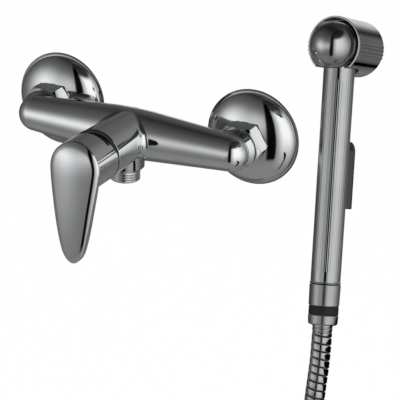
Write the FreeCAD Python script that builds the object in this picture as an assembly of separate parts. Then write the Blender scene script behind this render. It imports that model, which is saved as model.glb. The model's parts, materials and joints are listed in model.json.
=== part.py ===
import FreeCAD, Part
import math
import os

from FreeCAD import Matrix, Placement, Rotation, Vector

os.makedirs("parts", exist_ok=True)

# All sizes are in millimetres. The wall is the plane y = 0 and the mixer stands out of it towards -Y.
# The origin is midway between the two wall inlets.

# Threads: radius over the crests
g_half_r = 10.48
g_three_quarter_r = 13.22
g_three_eighths_r = 8.33

# Clearances
thread_gap = 0.03
running_gap = 0.05
loose_gap = 0.3
seat_gap = 0.02

# Inlets and wall unions
inlet_spacing = 150.0
union_offset = 6.0
union_wall_length = 16.0
union_shoulder_t = 2.5
union_shoulder_length = 4.0
union_shoulder_r = 14.5
union_end_t = 20.9
union_wall_bore_r = 7.0
union_bore_r = 9.0

# Rosettes
rosette_r = 34.0
rosette_height = 14.3
rosette_lip = 1.8
rosette_lip_height = 1.3
rosette_crown_r = 15.2
rosette_wall = 1.1

# Union nuts, washers and inlet tails
nut_across_flats = 30.0
nut_start_t = 15.0
nut_end_t = 27.9
nut_face_wall = 2.5
nut_chamfer = 1.9
nut_recess_r = 18.2
washer_thickness = 1.9
washer_hole_r = 7.4
tail_r = 10.0
tail_bore_r = 7.5
tail_flange_r = 12.0
tail_flange = 2.45
tail_depth = 9.0

# Mixer body
bar_axis_t = 36.0
bar_middle_r = 17.0
bar_middle_half = 14.0
bar_end_r = 12.6
collar_r = 14.6
collar_gap = 0.7
collar_band = 1.3
bar_passage_r = 6.0
bar_passage_end = 4.0
housing_back_r = 16.6
housing_blend = 5.0
housing_front_r = 18.2
housing_front_t = 86.6
chamber_floor_t = 57.0
chamber_r = 13.05
nut_thread_t = 78.0
retaining_thread_r = 14.2
port_r = 3.2
port_side_x = 6.5
port_side_v = 3.5
port_outlet_v = -8.5
outlet_t = 44.2
outlet_drop = 31.0
outlet_boss_r = 13.2
outlet_boss_drop = 23.6
outlet_chamfer = 2.6
outlet_bore_top = 9.0
outlet_bore_r = 7.6
nipple_top_drop = 14.0
nipple_spigot_r = 9.9
check_valve_length = 9.0

# Cartridge
seal_thickness = 1.5
base_thickness = 5.0
cartridge_r = 12.9
cartridge_bore_r = 11.1
fixed_disc_r = 10.8
fixed_disc_thickness = 3.5
moving_disc_r = 8.4
moving_disc_thickness = 3.0
driver_thickness = 3.15
carrier_neck_r = 8.5
cartridge_shoulder_t = 77.5
cartridge_shoulder_wall = 2.0
cartridge_neck_r = 10.6
cartridge_neck_end_t = 89.0
carrier_end_t = 88.5
pivot_t = 83.0
pin_r = 1.5
pin_length = 15.0
spindle_width = 6.5
spindle_end_t = 107.0
spindle_tip_arm = 10.4
spindle_tip_r = 2.4
spindle_tip_gap = 0.1
retaining_front_t = 88.0
shroud_r = 16.3
shroud_wall = 1.0
shroud_hole_r = 10.0
lift_angle = 20.0

# Lever
lever_gap = 1.4
lever_wall = 1.6
lever_cavity = 13.0
lever_sides = [(14.7, -25.0), (11.0, -46.0), (8.9, -55.0), (5.9, -62.3)]
lever_tip_v = -66.5
lever_crown = [(23.0, 110.5), (14.0, 116.0), (4.0, 118.8), (-10.0, 119.8), (-30.0, 120.0), (-50.0, 119.4),
               (-72.0, 117.6)]
lever_crown_r = 50.0
paddle_back_t = 112.5
lever_front_round = 2.6
relief_slot_depth = 7.0
relief_slot_half_angle = 48.0
relief_spare = 0.2
grub_r = 2.5
grub_length = 8.0
grub_t = 103.5

# Hand shower: placing of the head's rim centre and the way it leans
handset_x = 142.3
handset_y = -34.0
handset_z = 86.4
handset_turn = -10.2
handset_nose_down = -18.4
handset_lean = -10.8

# Hand shower head: s runs along the head's axis from the rim to the spray face
shell_front_r = 18.7
shell_back_r = 18.2
shell_length = 34.0
shell_wall = 1.1
shell_lip_r = 15.2
shell_lip = 1.2
notch_drop = 13.8
notch_half_width = 12.4
rib_r = 0.6
rib_count = 4
rib_pitch_angle = 7.6
rib_middle_angle = -7.0
button_r = 14.3
button_wall = 1.5
button_centre_s = -1.2
button_back_s = 7.0
button_flange_r = 15.2
button_flange_s = 1.0
button_flange = 1.2
button_boss_r = 4.2
button_seat_r = 6.8
button_travel = 3.0
core_start_s = 14.0
core_front_wall = 3.0
core_seat_s = 20.5
core_seat_wall = 1.5
core_chamber_r = 9.0
core_seat_r = 4.0
stem_r = 2.5
stem_seal = 1.4
stem_seal_r = 5.0
poppet_r = 5.6
poppet_thickness = 1.5
poppet_seal = 1.0
spring_wire_r = 0.45
spring_coil_r = 5.6
spring_turns = 5
spring_end_gap = 0.12
plate_flange = 1.3
plate_seal = 0.9
plate_hole_r = 0.7
core_end_s = shell_length - shell_lip - plate_flange - plate_seal

# Hand shower handle: d runs down from the head's axis
handle_s = 9.5
handle_top_r = 10.05
handle_bottom_r = 9.65
handle_bore_r = 8.4
handle_length = 150.6
handle_rise = 1.4
handle_top_band = 20.8
handle_bottom_band = 5.4
flute_count = 36
flute_depth = 0.35
flute_share = 0.55
spigot_r = 8.35
spigot_bore_r = 5.5
spigot_depth = 42.0
feed_rise_r = 1.6
feed_rise_length = 16.0
hook_top = 60.5
hook_bottom = 104.0
hook_gap = 4.5
hook_thickness = 2.6
hook_width = 12.8
adapter_depth = 12.0
adapter_bore_r = 4.6
adapter_thread = 10.9
adapter_end = handle_length + adapter_thread

# Hose and its upper fitting, d as above
top_nut_gap = 0.4
top_nut_length = 15.2
top_nut_start = handle_length + top_nut_gap
top_nut_end = top_nut_start + top_nut_length
top_nut_top_r = 10.1
top_nut_bottom_r = 9.85
top_nut_wall = 1.5
insert_neck_r = 6.2
insert_flange = 1.5
insert_bore_r = 3.2
top_washer = 1.6
swivel_ring_r = 9.65
swivel_ring_length = 6.3
swivel_ring_end = top_nut_end + swivel_ring_length
hose_collar_r = 9.5
hose_collar_length = 6.1
hose_collar_end = swivel_ring_end + hose_collar_length
hose_collar_chamfer = 0.8
ferrule_top_r = 6.7
ferrule_end_r = 6.1
ferrule_length = 5.6
ferrule_end = hose_collar_end + ferrule_length
barb_length = 14.0
hose_r = 6.5
hose_bore_r = 5.6
hose_groove_r = 5.95
hose_shoulder_r = 6.4
liner_r = 5.3
liner_bore_r = 4.05
rib_pitch = 4.9

# Hose route below the ferrule: it hangs forward and down, a little towards the mixer
route_first_run = 16.0
route_steps = [(0.88, -6.74, -17.8), (0.05, -4.0, -25.2), (-0.95, -1.3, -28.0), (-0.8, -0.3, -28.0),
               (0.0, 0.0, -27.0)]

# Coil of the unseen length: upright, parallel to the wall
coil_r = 68.0
coil_pitch = 14.2
coil_quarters = 9
coil_last_quarter = 12.0
coil_end_run = 13.0
tie_width = 10.0
tie_gap = 0.35
tie_thickness = 1.0

# Free end of the hose: q runs along the hose's end
end_ferrule_r = 6.95
end_ferrule_length = 12.0
end_nut_start = 13.5
end_nut_length = 16.0
end_nut_across_flats = 24.0
end_nut_floor = 2.4
end_insert_flange = 1.6
end_washer = 2.0
end_nut_relief_r = 10.9
end_nut_relief = 3.7
end_washer_hole_r = 5.5

saved = []


def save(name, shape):
    shape.exportStep("parts/" + name + ".step")
    saved.append((name, shape))


def outline(points):
    """Closed outline in the XZ plane from (r, z) points; (r, z, rm, zm) is an arc through (rm, zm)."""
    edges = []
    for index, point in enumerate(points):
        before = points[index - 1]
        start = Vector(before[0], 0, before[1])
        end = Vector(point[0], 0, point[1])
        if len(point) == 4:
            edges.append(Part.Arc(start, Vector(point[2], 0, point[3]), end).toShape())
        elif (start - end).Length > 1e-6:
            edges.append(Part.LineSegment(start, end).toShape())
    return Part.Face(Part.Wire(edges))


def turned(points):
    return outline(points).revolve(Vector(0, 0, 0), Vector(0, 0, 1), 360)


def rod(radius, low, high, x=0.0, y=0.0):
    return Part.makeCylinder(radius, high - low, Vector(x, y, low))


def ring(outer, inner, low, high):
    return rod(outer, low, high).cut(rod(inner, low, high))


def hexagon(across_flats, low, high, chamfer):
    corner = across_flats / math.sqrt(3)
    points = [Vector(corner * math.cos(math.radians(60 * k)), corner * math.sin(math.radians(60 * k)), low)
              for k in range(7)]
    prism = Part.Face(Part.makePolygon(points)).extrude(Vector(0, 0, high - low))
    drop = (corner - across_flats / 2 + 0.2) * 0.6
    guard = turned([(0, low), (corner - chamfer, low), (corner, low + drop), (corner, high - drop),
                    (corner - chamfer, high), (0, high)])
    return prism.common(guard)


def on_mixer(shape, x=0.0):
    """From (u, v, t) to the frame: u along +X, v up from the mixer's axis, t out from the wall."""
    placed = shape.copy()
    frame = Placement(Vector(x, 0, union_offset), Rotation(Vector(1, 0, 0), 90))
    placed.Placement = frame.multiply(shape.Placement)
    return placed


def on_head(shape):
    """From a shape turned about Z to the hand shower's own frame, with s along its +Y."""
    placed = shape.copy()
    placed.Placement = Placement(Vector(0, 0, 0), Rotation(Vector(1, 0, 0), -90)).multiply(shape.Placement)
    return placed


def handset_rotation():
    turn = Rotation(Vector(0, 0, 1), handset_turn)
    nose = Rotation(Vector(1, 0, 0), handset_nose_down)
    lean = Rotation(Vector(0, 1, 0), handset_lean)
    return turn.multiply(nose).multiply(lean)


def on_handset(shape):
    placed = shape.copy()
    frame = Placement(Vector(handset_x, handset_y, handset_z + union_offset), handset_rotation())
    placed.Placement = frame.multiply(shape.Placement)
    return placed


def down_handle(shape):
    """From a shape along -Z at the origin to the handle's axis."""
    placed = shape.copy()
    placed.translate(Vector(0, handle_s, 0))
    return on_handset(placed)


def wall_union():
    wall_end = rod(g_half_r, -union_wall_length, union_shoulder_t, 0, -union_offset)
    shoulder = rod(union_shoulder_r, union_shoulder_t, union_shoulder_t + union_shoulder_length)
    shoulder = shoulder.fuse(rod(g_half_r + 1.2, union_shoulder_t, union_shoulder_t + union_shoulder_length / 2,
                                 0, -union_offset))
    tap_end = rod(g_three_quarter_r, union_shoulder_t + union_shoulder_length, union_end_t)
    solid = wall_end.fuse(shoulder).fuse(tap_end)
    middle = union_shoulder_t + union_shoulder_length / 2
    solid = solid.cut(rod(union_wall_bore_r, -union_wall_length, middle + 0.4, 0, -union_offset))
    return solid.cut(rod(union_bore_r, middle, union_end_t)).removeSplitter()


def dome_face(outer_r, height, inner_r, base):
    """Face between the axis plane and an elliptic arc, from outer_r at the base to inner_r near the top."""
    ellipse = Part.Ellipse(Vector(outer_r, 0, base), Vector(0, 0, base + height), Vector(0, 0, base))
    end = math.acos(inner_r / outer_r)
    arc = Part.ArcOfEllipse(ellipse, 0, end).toShape()
    top = base + height * math.sin(end)
    lines = Part.makePolygon([Vector(inner_r, 0, top), Vector(0, 0, top), Vector(0, 0, base),
                              Vector(outer_r, 0, base)])
    return Part.Face(Part.Wire([arc] + lines.Edges)), top


def dome(outer_r, height, inner_r, base):
    face, top = dome_face(outer_r, height, inner_r, base)
    return face.revolve(Vector(0, 0, 0), Vector(0, 0, 1), 360), top


def rosette():
    foot_r = rosette_r - rosette_lip
    rise = math.sin(math.acos(rosette_crown_r / foot_r))
    crown, top = dome(foot_r, (rosette_height - rosette_lip_height) / rise, rosette_crown_r, rosette_lip_height)
    inner_height = (rosette_height - rosette_lip_height) / rise - rosette_wall
    inner, low_top = dome(foot_r - rosette_wall, inner_height, rosette_crown_r, rosette_lip_height)
    solid = crown.fuse(rod(rosette_r, 0, rosette_lip_height)).cut(inner)
    solid = solid.cut(rod(foot_r - rosette_wall, 0, rosette_lip_height))
    return solid.cut(rod(g_three_quarter_r + 5 * thread_gap, 0, top + 1))


def union_nut():
    solid = hexagon(nut_across_flats, nut_start_t, nut_end_t, nut_chamfer)
    solid = solid.cut(rod(g_three_quarter_r + thread_gap, nut_start_t, nut_end_t - nut_face_wall))
    return solid.cut(rod(tail_r + 0.2, nut_start_t, nut_end_t))


def tail_flange_start():
    return union_end_t + washer_thickness


def inlet_tail():
    start = tail_flange_start()
    collar_face = nut_end_t + collar_gap
    solid = rod(tail_flange_r, start, start + tail_flange).fuse(rod(tail_r, start, collar_face + tail_depth))
    return solid.cut(rod(tail_bore_r, start, collar_face + tail_depth))


def union_washer():
    return ring(tail_flange_r, washer_hole_r, union_end_t, union_end_t + washer_thickness)


def bar_solid():
    """The bar, turned about X: full in the middle, tapering to both ends."""
    half = inlet_spacing / 2
    profile = outline([(0, -half), (bar_end_r, -half), (bar_middle_r, -bar_middle_half),
                       (bar_middle_r, bar_middle_half, bar_middle_r + 0.3, 0), (bar_end_r, half), (0, half)])
    solid = profile.revolve(Vector(0, 0, 0), Vector(0, 0, 1), 360)
    solid.Placement = Placement(Vector(0, 0, bar_axis_t), Rotation(Vector(0, 1, 0), 90))
    return solid


def bar_end(x):
    """Rounded elbow end with the flared collar that faces the union nut."""
    face = nut_end_t + collar_gap
    angle = math.radians(10)
    join = (bar_end_r * math.cos(angle), bar_axis_t - bar_end_r * math.sin(angle))
    middle = (bar_end_r * math.cos(math.radians(40)), bar_axis_t + bar_end_r * math.sin(math.radians(40)))
    solid = turned([(0, face), (collar_r - 0.5, face), (collar_r, face + 0.5), (collar_r, face + collar_band),
                    join, (0, bar_axis_t + bar_end_r) + middle])
    solid.translate(Vector(x, 0, 0))
    return solid


def mixer_body():
    half = inlet_spacing / 2
    solid = bar_solid()
    for x in (-half, half):
        solid = solid.fuse(bar_end(x))
    edge = 1.0
    housing = turned([(0, bar_axis_t), (housing_back_r, bar_axis_t), (housing_front_r, housing_front_t - edge),
                      (housing_front_r - edge / 2, housing_front_t), (0, housing_front_t)])
    solid = solid.fuse(housing)
    solid = solid.makeFillet(housing_blend, [edge for edge in solid.Edges if joins_housing(edge)])
    boss = rod(outlet_boss_r, 0, outlet_boss_drop - outlet_chamfer)
    boss = boss.fuse(Part.makeCone(outlet_boss_r, g_half_r + 0.2, outlet_chamfer,
                                   Vector(0, 0, outlet_boss_drop - outlet_chamfer)))
    boss.Placement = Placement(Vector(0, 0, outlet_t), Rotation(Vector(1, 0, 0), 90))
    solid = solid.fuse(boss)
    for x in (-half, half):
        recess = rod(nut_recess_r, 0, nut_end_t + collar_gap)
        recess.translate(Vector(x, 0, 0))
        solid = solid.cut(recess)
    return solid.cut(body_passages()).removeSplitter()


def joins_housing(edge):
    """Whether an edge is where the housing grows out of the bar."""
    box = edge.BoundBox
    reach = housing_front_r + 1
    return (box.ZMin > bar_axis_t + 1 and box.ZMax < bar_axis_t + bar_middle_r + 1
            and box.XMin > -reach and box.XMax < reach)


def body_passages():
    half = inlet_spacing / 2
    spaces = [rod(chamber_r, chamber_floor_t, nut_thread_t),
              rod(retaining_thread_r + thread_gap, nut_thread_t, housing_front_t + 1)]
    for side in (-1, 1):
        passage = rod(bar_passage_r, bar_passage_end, half)
        passage.Placement = Placement(Vector(0, 0, bar_axis_t), Rotation(Vector(0, 1, 0), side * 90))
        spaces.append(passage)
        inlet = rod(tail_r + seat_gap, nut_end_t, nut_end_t + collar_gap + tail_depth)
        inlet.translate(Vector(side * half, 0, 0))
        spaces.append(inlet)
        spaces.append(rod(port_r, bar_axis_t, chamber_floor_t, side * port_side_x, port_side_v))
    spaces.append(rod(port_r, outlet_t, chamber_floor_t, 0, port_outlet_v))
    outlet = rod(outlet_bore_r, outlet_bore_top, nipple_top_drop)
    outlet = outlet.fuse(rod(nipple_spigot_r + seat_gap, nipple_top_drop, outlet_drop))
    outlet.Placement = Placement(Vector(0, 0, outlet_t), Rotation(Vector(1, 0, 0), 90))
    spaces.append(outlet)
    tool = spaces[0]
    for space in spaces[1:]:
        tool = tool.fuse(space)
    return tool


def outlet_nipple():
    chamfer = 1.0
    face = outlet_boss_drop + seat_gap
    solid = turned([(0, nipple_top_drop), (nipple_spigot_r, nipple_top_drop), (nipple_spigot_r, face),
                    (g_half_r, face), (g_half_r, outlet_drop - chamfer), (g_half_r - chamfer, outlet_drop),
                    (0, outlet_drop)])
    solid = solid.cut(rod(outlet_bore_r, nipple_top_drop, outlet_drop))
    return hang_outlet(solid)


def check_valve():
    low = nipple_top_drop + 1.0
    solid = ring(outlet_bore_r - seat_gap, outlet_bore_r - 1.4, low, low + check_valve_length)
    web = rod(outlet_bore_r - seat_gap, low + 1, low + 2.2)
    for turn in range(3):
        angle = math.radians(120 * turn)
        web = web.cut(rod(2.0, low + 1, low + 2.2, 4.0 * math.cos(angle), 4.0 * math.sin(angle)))
    return hang_outlet(solid.fuse(web).fuse(rod(1.4, low + 1, low + check_valve_length - 1)))


def hang_outlet(shape):
    shape.Placement = Placement(Vector(0, 0, outlet_t), Rotation(Vector(1, 0, 0), 90))
    return shape


def ported(solid, low, high):
    for x, v in ((-port_side_x, port_side_v), (port_side_x, port_side_v), (0, port_outlet_v)):
        solid = solid.cut(rod(port_r, low, high, x, v))
    return solid


def cartridge_levels():
    """Positions along t of the cartridge's stack, from the chamber's floor outwards."""
    base = chamber_floor_t + seal_thickness
    fixed = base + base_thickness
    moving = fixed + fixed_disc_thickness + running_gap
    driver = moving + moving_disc_thickness
    flange = driver + driver_thickness + loose_gap
    return base, fixed, moving, driver, flange


def disc_height():
    """Height of the moving disc's centre at rest, so that it ends as far below the axis as it starts above."""
    return spindle_tip_arm * math.sin(math.radians(lift_angle)) / 2


def moving_disc():
    base, fixed, moving, driver, flange = cartridge_levels()
    solid = rod(moving_disc_r, moving, driver, 0, disc_height())
    return solid.cut(rod(moving_disc_r * 0.55, moving, moving + 1.5, 0, disc_height() - 1.5))


def disc_driver():
    base, fixed, moving, driver, flange = cartridge_levels()
    solid = rod(moving_disc_r, driver, driver + driver_thickness, 0, disc_height())
    slot_half = spindle_tip_r + spindle_tip_gap
    slot = Part.makeBox(2 * slot_half, 2 * slot_half, driver_thickness, Vector(-slot_half, -slot_half, driver))
    return solid.cut(slot)


def cartridge_housing():
    base, fixed, moving, driver, flange = cartridge_levels()
    shoulder_end = cartridge_shoulder_t + cartridge_shoulder_wall
    solid = rod(cartridge_r, fixed, shoulder_end).fuse(rod(cartridge_neck_r, shoulder_end, cartridge_neck_end_t))
    solid = solid.cut(rod(cartridge_bore_r, fixed, cartridge_shoulder_t))
    return solid.cut(rod(carrier_neck_r + running_gap, fixed, cartridge_neck_end_t))


def swing_space(half_width, half_height, low, high):
    """Space that the spindle sweeps from rest to full lift between t = low and t = high."""
    slope = math.tan(math.radians(lift_angle))
    spare = half_height / math.cos(math.radians(lift_angle))
    before, after = pivot_t - low, high - pivot_t
    points = [(low, spare), (pivot_t, spare), (high, after * slope + spare), (high, -spare),
              (pivot_t, -spare), (low, -before * slope - spare)]
    wire = Part.makePolygon([Vector(-half_width, v, t) for t, v in points + points[:1]])
    return Part.Face(wire).extrude(Vector(2 * half_width, 0, 0))


def carrier():
    base, fixed, moving, driver, flange = cartridge_levels()
    solid = rod(cartridge_bore_r - running_gap, flange, cartridge_shoulder_t - running_gap)
    solid = solid.fuse(rod(carrier_neck_r, flange, carrier_end_t))
    half = spindle_width / 2 + running_gap
    solid = solid.cut(swing_space(half, half + 0.1, flange - 0.5, carrier_end_t + 0.5))
    return solid.cut(cross_pin(pin_r + 0.01))


def cross_pin(radius):
    pin = rod(radius, -pin_length / 2, pin_length / 2)
    pin.Placement = Placement(Vector(0, 0, pivot_t), Rotation(Vector(0, 1, 0), 90))
    return pin


def spindle():
    half = spindle_width / 2
    tip_t = pivot_t - spindle_tip_arm
    solid = Part.makeBox(spindle_width, spindle_width, spindle_end_t - pivot_t + half,
                         Vector(-half, -half, pivot_t - half))
    solid = solid.fuse(Part.makeCone(spindle_tip_r - 0.5, half, spindle_tip_arm - half,
                                     Vector(0, 0, tip_t)))
    solid = solid.fuse(Part.makeSphere(spindle_tip_r, Vector(0, 0, tip_t)))
    return solid.cut(cross_pin(pin_r + running_gap))


def retaining_nut():
    shoulder_end = cartridge_shoulder_t + cartridge_shoulder_wall
    solid = ring(retaining_thread_r, cartridge_neck_r + 0.2, shoulder_end, retaining_front_t)
    for k in range(4):
        notch = Part.makeBox(3.0, 2 * retaining_thread_r, 1.0, Vector(-1.5, -retaining_thread_r,
                                                                    retaining_front_t - 1.0))
        notch.rotate(Vector(0, 0, 0), Vector(0, 0, 1), 45 * k)
        solid = solid.cut(notch)
    return solid


def shroud():
    outer = Part.makeSphere(shroud_r, Vector(0, 0, pivot_t))
    inner = Part.makeSphere(shroud_r - shroud_wall, Vector(0, 0, pivot_t))
    band = rod(shroud_r + 1, housing_front_t, pivot_t + shroud_r + 1).cut(
        rod(shroud_hole_r, housing_front_t, pivot_t + shroud_r + 1))
    return outer.cut(inner).common(band)


def lever_outline():
    """Drop shape of the lever seen from the front: the head's circle and a curve round the tip."""
    start_angle = math.radians(-6)
    head = Vector(housing_front_r * math.cos(start_angle), housing_front_r * math.sin(start_angle), 0)
    right = [head] + [Vector(u, v, 0) for u, v in lever_sides]
    left = [Vector(-point.x, point.y, 0) for point in reversed(right)]
    sides = Part.BSplineCurve()
    way = Vector(math.sin(start_angle), -math.cos(start_angle), 0) * 60
    sides.interpolate(Points=right + [Vector(0, lever_tip_v, 0)] + left, InitialTangent=way,
                      FinalTangent=Vector(way.x, -way.y, 0))
    top = Part.Arc(left[-1], Vector(0, housing_front_r, 0), head)
    return Part.Wire([sides.toShape(), top.toShape()])


def lever_front():
    """Block whose front is the lever's crown: arcs across, set along the lever's length."""
    reach = 23.0
    drop = lever_crown_r - math.sqrt(lever_crown_r ** 2 - reach ** 2)
    sections = []
    for v, t in lever_crown:
        left, right = Vector(-reach, v, t - drop), Vector(reach, v, t - drop)
        arc = Part.Arc(left, Vector(0, v, t), right).toShape()
        back = housing_front_t
        lines = Part.makePolygon([right, Vector(reach, v, back), Vector(-reach, v, back), left])
        sections.append(Part.Wire([arc] + lines.Edges))
    return Part.makeLoft(sections, True, False)


def lever():
    rim = housing_front_t + lever_gap
    high = lever_crown[4][1] + 1
    paddle = Part.Face(lever_outline()).extrude(Vector(0, 0, high - paddle_back_t))
    paddle.translate(Vector(0, 0, paddle_back_t))
    solid = paddle.fuse(rod(housing_front_r, rim, high)).removeSplitter().common(lever_front())
    solid = solid.makeFillet(lever_front_round, [edge for edge in solid.Edges if edge_on_crown(edge)])
    solid = solid.cut(rod(housing_front_r - lever_wall, rim - 1, rim + lever_cavity))
    solid = solid.cut(relief(rim)).cut(relief_slot(rim))
    half = spindle_width / 2 + seat_gap
    solid = solid.cut(Part.makeBox(2 * half, 2 * half, spindle_end_t + 0.5 - rim,
                                   Vector(-half, -half, rim)))
    return solid.cut(grub_space(grub_r + seat_gap, housing_front_r + 1))


def edge_on_crown(edge):
    """Front edges lie wholly ahead of the paddle's back and off the tool's straight sides."""
    rise = edge.BoundBox.ZMax - edge.BoundBox.ZMin
    return edge.BoundBox.ZMin > paddle_back_t + 0.3 and rise < edge.Length * 0.6


def relief(rim):
    """Wedge off the lever's rear rim above the pivot, which lets it tilt back by the lift angle."""
    tilt = math.tan(math.radians(lift_angle))
    ahead = (housing_front_t + relief_spare - pivot_t) / math.cos(math.radians(lift_angle))
    reach = housing_front_r + 1
    bottom = pivot_t + ahead
    start_v = (rim - bottom) / tilt
    wire = Part.makePolygon([Vector(-reach, start_v, rim), Vector(-reach, reach, bottom + reach * tilt),
                             Vector(-reach, reach, rim - 1), Vector(-reach, start_v, rim - 1),
                             Vector(-reach, start_v, rim)])
    return Part.Face(wire).extrude(Vector(2 * reach, 0, 0))


def relief_slot(rim):
    """Slot of even depth over the top of the lever's rear rim."""
    half = math.radians(relief_slot_half_angle)
    reach = housing_front_r + 2
    inner = housing_front_r - lever_wall - 1
    left, right = Vector(-math.sin(half), math.cos(half), 0), Vector(math.sin(half), math.cos(half), 0)
    edges = [Part.Arc(left * reach, Vector(0, reach, 0), right * reach).toShape(),
             Part.LineSegment(right * reach, right * inner).toShape(),
             Part.Arc(right * inner, Vector(0, inner, 0), left * inner).toShape(),
             Part.LineSegment(left * inner, left * reach).toShape()]
    slot = Part.Face(Part.Wire(edges)).extrude(Vector(0, 0, relief_slot_depth + 1))
    slot.translate(Vector(0, 0, rim - 1))
    return slot


def grub_space(radius, length):
    screw = rod(radius, spindle_width / 2, length)
    screw.Placement = Placement(Vector(0, 0, grub_t), Rotation(Vector(1, 0, 0), 90))
    return screw


def grub_screw():
    screw = rod(grub_r, spindle_width / 2 + seat_gap, spindle_width / 2 + grub_length)
    screw = screw.cut(rod(1.2, spindle_width / 2 + grub_length - 3, spindle_width / 2 + grub_length))
    screw.Placement = Placement(Vector(0, 0, grub_t), Rotation(Vector(1, 0, 0), 90))
    return screw


def head_shell():
    """Cylindrical cover of the head with grip ribs along both sides and a flat notch for the handle."""
    lip_s = shell_length - shell_lip
    solid = turned([(shell_front_r - shell_wall, 0), (shell_front_r, 0), (shell_back_r, shell_length),
                    (shell_lip_r, shell_length), (shell_lip_r, lip_s), (shell_back_r - shell_wall, lip_s)])
    first = rib_middle_angle - rib_pitch_angle * (rib_count - 1) / 2
    for side in (0, 180):
        for k in range(rib_count):
            angle = first + rib_pitch_angle * k
            solid = solid.fuse(shell_rib(angle if side == 0 else 180 - angle))
    solid = on_head(solid)
    low = -shell_front_r - 2
    front = Part.makeBox(2 * notch_half_width, handle_s + 1, -low, Vector(-notch_half_width, -1, low))
    notch = front.fuse(rod(notch_half_width, low, 0, 0, handle_s))
    return on_handset(solid.cut(notch))


def shell_rib(angle):
    """Ridge along the head at an angle above its +X side."""
    turn = math.radians(-angle)
    top = Vector(math.cos(turn), math.sin(turn), 0)
    start = top * (shell_front_r - 0.15)
    end = top * (shell_back_r - 0.15)
    end.z = shell_length
    return Part.makeCylinder(rib_r, (end - start).Length, start, end - start)


def button_space():
    """What the thumb button sweeps over its travel, with its clearance, about the head's axis."""
    swept_r = button_r + loose_gap
    far = button_centre_s + button_travel
    solid = Part.makeSphere(swept_r, Vector(0, 0, button_centre_s))
    solid = solid.fuse(rod(swept_r, button_centre_s, far)).fuse(Part.makeSphere(swept_r, Vector(0, 0, far)))
    return on_head(solid)


def thumb_button():
    outer = Part.makeSphere(button_r, Vector(0, 0, button_centre_s))
    solid = outer.cut(Part.makeSphere(button_r - button_wall, Vector(0, 0, button_centre_s)))
    reach = 3 * button_r
    solid = solid.common(Part.makeBox(reach, reach, reach + button_back_s, Vector(-reach / 2, -reach / 2, -reach)))
    front = button_centre_s - button_r
    solid = solid.fuse(rod(button_boss_r, front + button_wall / 2, button_flange_s))
    solid = solid.fuse(rod(button_seat_r, button_flange_s - button_flange, button_flange_s))
    solid = solid.cut(rod(stem_r + seat_gap, button_centre_s - button_r / 2, button_flange_s + 1))
    keep = Part.makeBox(reach, reach, reach, Vector(-reach / 2, -reach / 2, -notch_drop))
    solid = on_head(solid).common(keep)
    return on_handset(solid.fuse(button_rim(reach)))


def button_rim(reach):
    """Ring that holds the button behind the shell, cut straight above the handle."""
    rim = on_head(ring(button_flange_r, button_r - button_wall, button_flange_s, button_flange_s + button_flange))
    low = handle_rise + loose_gap - notch_drop
    return rim.common(Part.makeBox(reach, reach, reach, Vector(-reach / 2, -reach / 2, low)))


def core_space(gap):
    return on_head(rod(shell_back_r - shell_wall + gap, core_start_s - gap, core_end_s))


def valve_body():
    core_r = shell_back_r - shell_wall - seat_gap
    core = on_head(rod(core_r, core_start_s, core_end_s))
    spigot = rod(spigot_r, -spigot_depth, -notch_drop + 4, 0, handle_s)
    solid = core.fuse(spigot).cut(button_space())
    seat_end = core_seat_s + core_seat_wall
    bores = rod(stem_r + 2 * running_gap, core_start_s, core_end_s)
    bores = bores.fuse(rod(core_chamber_r, core_start_s + core_front_wall, core_seat_s))
    bores = bores.fuse(rod(core_seat_r, core_seat_s, seat_end))
    bores = bores.fuse(rod(core_chamber_r, seat_end, core_end_s))
    bores = bores.fuse(rod(core_r - 2.5, core_end_s - 3, core_end_s))
    solid = solid.cut(on_head(bores))
    feed = rod(spigot_bore_r, -spigot_depth, -core_r - 1.5, 0, handle_s)
    rise = Part.makeCylinder(feed_rise_r, feed_rise_length, Vector(0, handle_s + 1, -core_r - 3),
                             Vector(0, 0.75, 1))
    return on_handset(solid.cut(feed).cut(rise))


def stem_length():
    return core_seat_s + core_seat_wall + poppet_seal + poppet_thickness


def valve_plunger():
    start = button_centre_s - button_r / 2
    solid = rod(stem_r, start, stem_length())
    solid = solid.fuse(rod(poppet_r, stem_length() - poppet_thickness, stem_length()))
    return on_handset(on_head(solid))


def poppet_ring():
    low = core_seat_s + core_seat_wall
    return on_handset(on_head(ring(poppet_r, stem_r + seat_gap, low + seat_gap, low + poppet_seal)))


def stem_ring():
    low = core_start_s + core_front_wall
    return on_handset(on_head(ring(stem_seal_r, stem_r + 2 * running_gap, low, low + stem_seal)))


def spring():
    """Return spring between the button's boss flange and the front of the valve body."""
    low = button_flange_s + spring_wire_r + spring_end_gap
    high = core_start_s - spring_wire_r - spring_end_gap
    pitch = (high - low) / spring_turns
    path = helix_path(spring_coil_r, pitch, spring_turns * 4, Vector(0, 0, low))
    solid = swept(path, spring_wire_r)
    return on_handset(on_head(solid)), path


def spray_plate():
    low = core_end_s + plate_seal
    edge_r = shell_lip_r - 2 * seat_gap
    solid = rod(shell_back_r - shell_wall - 0.1, low, shell_length - shell_lip)
    solid = solid.fuse(rod(edge_r, shell_length - shell_lip, shell_length + 0.4))
    for count, radius in ((1, 0.0), (6, 4.6), (12, 9.2)):
        for k in range(count):
            angle = 2 * math.pi * k / count
            solid = solid.cut(rod(plate_hole_r, low, shell_length + 0.4, radius * math.cos(angle),
                                  radius * math.sin(angle)))
    return on_handset(on_head(solid))


def spray_seal():
    outer = shell_back_r - shell_wall - 0.3
    return on_handset(on_head(ring(outer, outer - 1.8, core_end_s, core_end_s + plate_seal)))


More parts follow.
